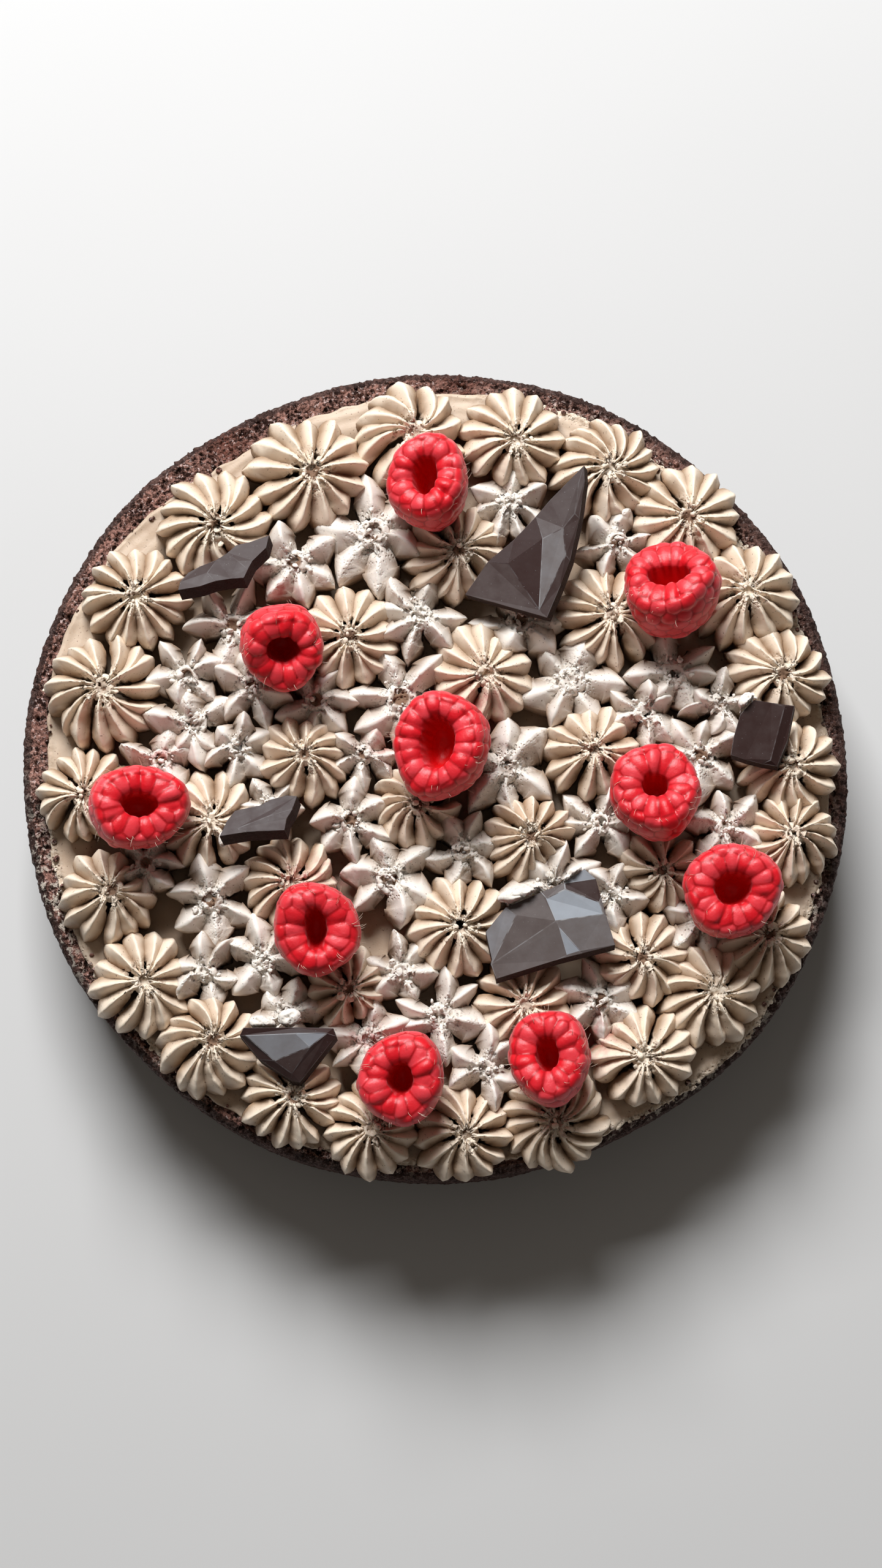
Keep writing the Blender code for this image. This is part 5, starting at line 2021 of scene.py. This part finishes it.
@dataclass
class Raspberries:
    """Hollow raspberries on their tips: rows of drupelets that curl over the mouth."""

    trees: Trees
    levels: tuple = (             # height share, half size along the skin, stands out
        (0.845, 1.85, 1.3), (0.705, 2.2, 1.25), (0.555, 2.2, 1.2), (0.405, 2.2, 1.2),
        (0.260, 2.1, 1.1), (0.125, 1.9, 1.0), (0.045, 1.6, 1.0),
    )
    width: float = 2.3           # half width of a drupelet round the berry
    lip_width: float = 1.85      # and of a long one on its lip
    lip_reach: float = 0.80      # share of the berry's half width that the lip covers
    lip_level: float = 0.885     # share of the height that the lip stands at
    packing: float = 0.79        # share of a drupelet's width that it keeps to itself
    set_in: float = 0.915        # share of the skin's radius that drupelets are set at
    hairs: int = 60
    hair_thick: float = 0.034    # half width of a hair's foot for each unit of its length
    hair_bend: float = 0.35      # how far its tip bends over, for each unit of its length
    voxel: float = 0.34
    softness: int = 3
    swells: tuple = ((2, 0.035), (3, 0.030), (5, 0.018))   # waves round it and their share
    dip: float = 0.55            # how far its mouth is from level
    crease: float = 0.75         # width of the creases between drupelets
    tone_step: float = 0.618     # from the tone of one drupelet to that of the next
    shade: Triple = (0.86, 0.36, 0.36)      # of the hollow: its top, growth and floor, as shares
    centres: list[Vector] = field(default_factory=list)
    seed: int = 23

    def drupelet(self, curl: float) -> Shape:
        """Make a plump cell, long along its y.

        Args:
            curl: How far its ends curl down.

        Returns:
            The cell, one unit in half width.
        """
        points, faces = ball(14, 9)
        crest = np.clip(0.5 + 0.62 * points[:, 2], 0.0, 1.0)
        squared = np.sign(points) * np.abs(points) ** 0.88
        squared[:, 2] -= curl * squared[:, 1] ** 2
        return Shape.of_faces(squared / MM, faces, {"crest": crest})

    def hair(self) -> Shape:
        """Make a thin bent hair.

        Returns:
            The hair, one unit long.
        """
        rows = []
        for share in (0.0, 0.25, 0.5, 0.75, 1.0):
            thick = self.hair_thick * (1.0 - 0.8 * share)
            for turn in (0.0, TURN / 3, TURN * 2 / 3):
                rows.append((thick * cos(turn) + self.hair_bend * share ** 2, thick * sin(turn),
                             share))
        faces = grid_faces(5, 3) + [(2, 1, 0), (12, 13, 14)]
        return Shape.of_faces(np.array(rows) / MM, faces, {"crest": [row[2] for row in rows]})

    def core(self, berry: Berry, ridges: int, phase: float) -> Shape:
        """Make the body under the drupelets, with the hollow and its faint ridges.

        Args:
            berry: The berry.
            ridges: How many ridges run down the hollow.
            phase: Direction of the first one.

        Returns:
            The closed body, with the marks inside and crest.
        """
        wide, deep = berry.row[2] * 0.5, berry.row[3] * 0.5
        mouth = (berry.row[6] * 0.5, berry.row[7] * 0.5)
        count = 4 * ridges
        profile = [(0.0, level, berry.share(level) * 0.972, 0.0)
                   for level in (0.02, 0.10, 0.22, 0.38, 0.55, 0.72, 0.84)]
        profile += [(0.45, 0.935, 0.82, 0.0), (0.85, 0.925, 1.10, 0.1), (1.0, 0.86, 0.98, 0.25),
                    (1.0, 0.78, 0.92, 0.45), (1.0, 0.68, 0.87, 0.65), (1.0, 0.57, 0.80, 0.85),
                    (1.0, 0.47, 0.66, 1.0), (1.0, 0.41, 0.38, 1.0)]
        points, inside, crest = [], [], []
        for blend, level, share, depth in profile:
            for i in range(count):
                turn = phase + TURN * i / count
                fold = 1.0 - 0.075 * (0.5 - 0.5 * cos(ridges * (turn - phase))) * blend
                half_x = (wide * (1.0 - blend) + mouth[0] * blend) * share * fold
                half_y = (deep * (1.0 - blend) + mouth[1] * blend) * share * fold
                points.append((half_x * cos(turn), half_y * sin(turn),
                               (level - 0.5) * berry.height))
                inside.append(depth)
                crest.append(0.15 + 0.5 * blend * (1.0 - depth))
        points += [(0.0, 0.0, (level - 0.5) * berry.height) for level in (0.0, 0.395)]
        return Shape.of_faces(points, tube_faces(len(profile), count),
                              {"inside": inside + [0.0, 1.0], "crest": crest + [0.0, 0.0]})

    def set_row(self, spots: Spots, berry: Berry, level: float, size: Pair, phase: float,
                draw: random.Random) -> None:
        """Set one row of drupelets on the skin.

        Args:
            spots: Where they are added.
            berry: The berry.
            level: Share of the height.
            size: Half size along the skin, and how far they stand out.
            phase: Direction of the first one.
            draw: Source of their small differences.
        """
        half_x, half_y = berry.row[2] * 0.5, berry.row[3] * 0.5
        share = float(berry.share(level)) * self.set_in
        slope = float(berry.share(level + 0.05) - berry.share(level - 0.05)) / 0.1
        mean = 0.5 * (half_x + half_y)
        count = max(3, round(TURN * share * mean / (2.0 * self.width * self.packing)))
        for i in range(count):
            turn = phase + TURN * (i + draw.uniform(-0.06, 0.06)) / count
            normal = Vector((cos(turn), sin(turn), -slope * mean / berry.height))
            along = Vector((-sin(turn), cos(turn), 0.0))
            up = normal.normalized().cross(along)
            z = (level - 0.5 + draw.uniform(-0.012, 0.012)) * berry.height
            place = Vector((half_x * share * cos(turn), half_y * share * sin(turn), z))
            self.put(spots, place, along, up, normal.normalized(), (
                self.width * draw.uniform(0.88, 1.22), size[0] * draw.uniform(0.88, 1.15),
                size[1] * draw.uniform(0.85, 1.15)))

    def put(self, spots: Spots, place: Vector, along: Vector, up: Vector, normal: Vector,
            size: Triple) -> None:
        """Add one drupelet.

        Args:
            spots: Where it is added.
            place: Its middle.
            along: Direction of its width.
            up: Direction of its length.
            normal: Direction in which it stands out.
            size: Half width, half length and how far it stands out.
        """
        turn = Matrix((along, up, normal)).transposed().to_euler()
        spots.add(tuple(place), {"spin": tuple(turn), "size": tuple(s * MM for s in size)})
        self.centres.append(place.copy())

    def lip(self, spots: Spots, berry: Berry, phase: float, draw: random.Random) -> int:
        """Set the long drupelets that curl over the mouth.

        Args:
            spots: Where they are added.
            berry: The berry.
            phase: Direction of the first one.
            draw: Source of their small differences.

        Returns:
            How many there are.
        """
        wide, deep = (part * 0.5 * self.lip_reach for part in berry.row[2:4])
        mouth = (berry.row[6] * 0.5 + 0.5, berry.row[7] * 0.5 + 0.3)
        mean = 0.25 * (wide + deep + mouth[0] + mouth[1])
        count = round(TURN * mean / (2.0 * self.lip_width * self.packing))
        for i in range(count):
            turn = phase + TURN * (i + draw.uniform(-0.13, 0.13)) / count
            outer = Vector((wide * cos(turn), deep * sin(turn), 0.0))
            inner = Vector((mouth[0] * cos(turn), mouth[1] * sin(turn), 0.0))
            span = outer - inner
            place = inner * 0.47 + outer * 0.53
            place.z = (self.lip_level - 0.5 + draw.uniform(-0.01, 0.012)) * berry.height
            up = -span.normalized()
            normal = Vector((-0.10 * up.x, -0.10 * up.y, 1.0)).normalized()
            along = up.cross(normal).normalized()
            normal = along.cross(up).normalized()
            self.put(spots, place, along, up, normal, (
                self.lip_width * draw.uniform(0.82, 1.25),
                0.5 * span.length + draw.uniform(0.7, 1.3), 1.6 * draw.uniform(0.78, 1.14)))
        return count

    def beard(self, berry: Berry, draw: random.Random) -> Shape:
        """Set the hairs on the upper part of the berry.

        Args:
            berry: The berry.
            draw: Source of their places and directions.

        Returns:
            The hairs.
        """
        spots = Spots()
        for _ in range(self.hairs):
            turn, level = draw.uniform(0.0, TURN), draw.uniform(0.45, 0.96)
            share = float(berry.share(level)) * 0.93
            spot = (berry.row[2] * 0.5 * share * cos(turn),
                    berry.row[3] * 0.5 * share * sin(turn), (level - 0.5) * berry.height)
            way = Vector((cos(turn + draw.uniform(-0.7, 0.7)),
                          sin(turn + draw.uniform(-0.7, 0.7)),
                          draw.uniform(-0.2, 1.1) + (level - 0.45))).normalized()
            spin = tuple(way.to_track_quat("Z", "Y").to_euler())
            spots.add(spot, {"spin": spin, "size": (draw.uniform(1.6, 2.9) * MM,) * 3})
        return spots.scatter(self.trees, self.hair(), 0.0, 1.0, 0.0, ("crest",))

    def build(self, row: tuple, draw: random.Random) -> Shape:
        """Make one raspberry.

        Args:
            row: Its row of the table.
            draw: Source of its small differences.

        Returns:
            The berry in its place, with finish 0 on its skin and 1 on its hairs.
        """
        berry = Berry(row)
        phase = draw.uniform(0.0, TURN)
        self.centres.clear()
        body, curled = Spots(), Spots()
        ridges = self.lip(curled, berry, phase, draw)
        for number, (level, tall, out) in enumerate(self.levels):
            self.set_row(body, berry, level, (tall, out), phase + 0.22 * number, draw)
        self.put(body, Vector((0.0, 0.0, (0.03 - 0.5) * berry.height)), Vector((1.0, 0.0, 0.0)),
                 Vector((0.0, -1.0, 0.0)), Vector((0.0, 0.0, -1.0)), (1.9, 1.9, 1.2))
        cells, rim = (spots.scatter(self.trees, self.drupelet(curl), 0.22, 1.7, 0.01 * row[0],
                                    ("crest",)) for spots, curl in ((body, 0.0), (curled, 0.30)))
        hairs = self.beard(berry, draw)
        skin = self.soften(Shape.joined([self.core(berry, ridges, phase), cells, rim]), berry)
        return Shape.joined([skin.painted(0), hairs.painted(1)]).moved(berry.matrix())

    def soften(self, parts: Shape, berry: Berry) -> Shape:
        """Melt the drupelets into one soft skin.

        Args:
            parts: The core and the drupelets.
            berry: The berry.

        Returns:
            The skin, with the marks crest, tone and inside.
        """
        rough = parts.to_object("berry_parts", [])
        skin = rough.modifiers.new("skin", "REMESH")
        skin.mode, skin.voxel_size = "VOXEL", self.voxel * MM
        soft = rough.modifiers.new("soft", "SMOOTH")
        soft.factor, soft.iterations = 0.5, self.softness
        graph = bpy.context.evaluated_depsgraph_get()
        mesh = bpy.data.meshes.new_from_object(rough.evaluated_get(graph))
        shape = Shape.of_mesh(mesh, ())
        data = rough.data
        bpy.data.objects.remove(rough, do_unlink=True)
        bpy.data.meshes.remove(data)
        bpy.data.meshes.remove(mesh)
        tree = KDTree(len(self.centres))
        for number, centre in enumerate(self.centres):
            tree.insert(centre, number)
        tree.balance()
        found = [tree.find_n(point, 2) for point in shape.points / MM]
        near, first, second = np.array([(a[1], a[2], b[2]) for a, b in found]).T
        # crest is low along the creases between drupelets, where the finish paints shade.
        shape.marks["crest"] = np.clip((second - first) / self.crease, 0.0, 1.0)
        shape.marks["tone"] = (near * self.tone_step) % 1.0
        x, y, z = (shape.points / MM).T
        level = z / berry.height + 0.5
        out = np.hypot(x / (0.5 * berry.row[6] + 0.9), y / (0.5 * berry.row[7] + 0.9))
        # inside grows down into the hollow, where the finish paints deeper shade.
        top, growth, floor = self.shade
        shape.marks["inside"] = np.where(out < 1.0, np.clip((top - level) / growth, 0.0, 1.0), 0.0)
        shape.marks["inside"] *= level > floor
        turn = np.arctan2(y, x)
        swell = 1.0 + sum(size * np.cos(count * turn + count * berry.row[0])
                          for count, size in self.swells)
        dip = self.dip * np.cos(2.0 * turn + berry.row[1]) * np.clip(level, 0.0, 1.0) ** 2
        shape.points = np.column_stack((x * swell, y * swell, z + dip)) * MM
        return shape

    def dress(self, finishes: Finishes) -> None:
        """Make one piece for each raspberry and hand it over.

        Args:
            finishes: The materials.
        """
        draw, coats = random.Random(self.seed), [finishes.berry, finishes.hair]
        for index, row in enumerate(RASPBERRIES):
            piece = self.build(row, draw).to_object(f"berry_{index + 1:02d}", coats)
            hand_over(piece, Slot.BERRY, f"raspberry_{index + 1:02d}")


# --- Chocolate ---

@dataclass
class Shards:
    """Broken pieces of a moulded bar, with facets, painted highlights along the creases and rough
    walls.
    """

    rounding: float = 0.2        # of its broken edges
    line: float = 0.13           # half width of a crease line that carries a painted highlight

    def build(self, cut: Cut) -> bmesh.types.BMesh:
        """Make one piece of chocolate.

        Args:
            cut: Its outline, facets and place.

        Returns:
            Its mesh, with the marks tone (painted reflection), crease (painted highlight) and broken
            on its faces.
        """
        def on_face(x: float, y: float, over: float) -> Vector:
            """Place of a point at a height over the tilted face."""
            return Vector((x, y, cut.above(x, y) + over)) * MM

        bm = bmesh.new()
        tone, crease, broken = (bm.faces.layers.float.new(name)
                                for name in ("tone", "crease", "broken"))
        top = [bm.verts.new(on_face(x, y, 0.0)) for x, y in cut.outline]
        top += [bm.verts.new(on_face(*row)) for row in cut.inner]
        low = [bm.verts.new(on_face(x, y, -cut.thickness)
                            + Vector((*cut.skirt, 0.0)) * MM) for x, y in cut.outline]
        count = len(cut.outline)
        for painted_reflection, *corners in cut.facets:
            bm.faces.new([top[i] for i in corners])[tone] = painted_reflection
        walls = [bm.faces.new((low[i], low[(i + 1) % count], top[(i + 1) % count], top[i]))
                 for i in range(count)] + [bm.faces.new(low[::-1])]
        for wall in walls:
            wall[broken] = 1.0
        bmesh.ops.recalc_face_normals(bm, faces=bm.faces[:])
        inner = [edge for edge in bm.edges if all(face[broken] < 0.5 for face in edge.link_faces)]
        lines = bmesh.ops.bevel(bm, geom=inner, offset=self.line * MM, segments=1,
                                affect="EDGES", clamp_overlap=True)
        # Crease lines beside brighter facets get a stronger painted highlight.
        for face in lines["faces"]:
            beside = [other[tone] for edge in face.edges for other in edge.link_faces]
            face[crease] = max(0.15, 1.1 * max(beside) - 0.2)
        outer = [edge for edge in bm.edges
                 if len({face[broken] > 0.5 for face in edge.link_faces}) == 2]
        rounds = bmesh.ops.bevel(bm, geom=outer, offset=self.rounding * MM, segments=2,
                                 profile=0.6, affect="EDGES", clamp_overlap=True)
        # The rounded broken edges get a faint painted highlight and painted reflection.
        for face in rounds["faces"]:
            face[crease], face[broken], face[tone] = 0.22, 0.0, 0.15
        return bm

    def dress(self, finishes: Finishes) -> None:
        """Make one piece for each shard and hand it over.

        Args:
            finishes: The materials.
        """
        for index, cut in enumerate(CUTS):
            bm = self.build(cut)
            mesh = bpy.data.meshes.new(f"chocolate_piece_{index + 1}")
            bm.to_mesh(mesh)
            bm.free()
            mesh.materials.append(finishes.chocolate)
            piece = bpy.data.objects.new(mesh.name, mesh)
            bpy.context.collection.objects.link(piece)
            hand_over(piece, Slot.CHOCOLATE, f"chocolate_shard_{index + 1}")


# --- The cake ---


def main() -> None:
    """Build the studio and every piece of the cake."""
    logging.basicConfig(level=logging.INFO, format="%(name)s %(message)s")
    studio = Studio()
    studio.set_camera()
    studio.set_lights()
    studio.lay_floor()
    trees = Trees(StrokeTree(), ScatterTree(), ReliefTree())
    finishes = Finishes.build()
    rim, plan, press, hearts = Rim(), Plan(), Press(), Hearts(trees)
    Sponge(rim, trees).dress(finishes)
    CreamBed(rim, trees).dress(finishes, press)
    Rosettes(plan, trees, hearts).dress(finishes, press)
    PaleFlowers(plan, trees, hearts).dress(finishes, press)
    Raspberries(trees).dress(finishes)
    Shards().dress(finishes)


if __name__ == "__main__":
    main()
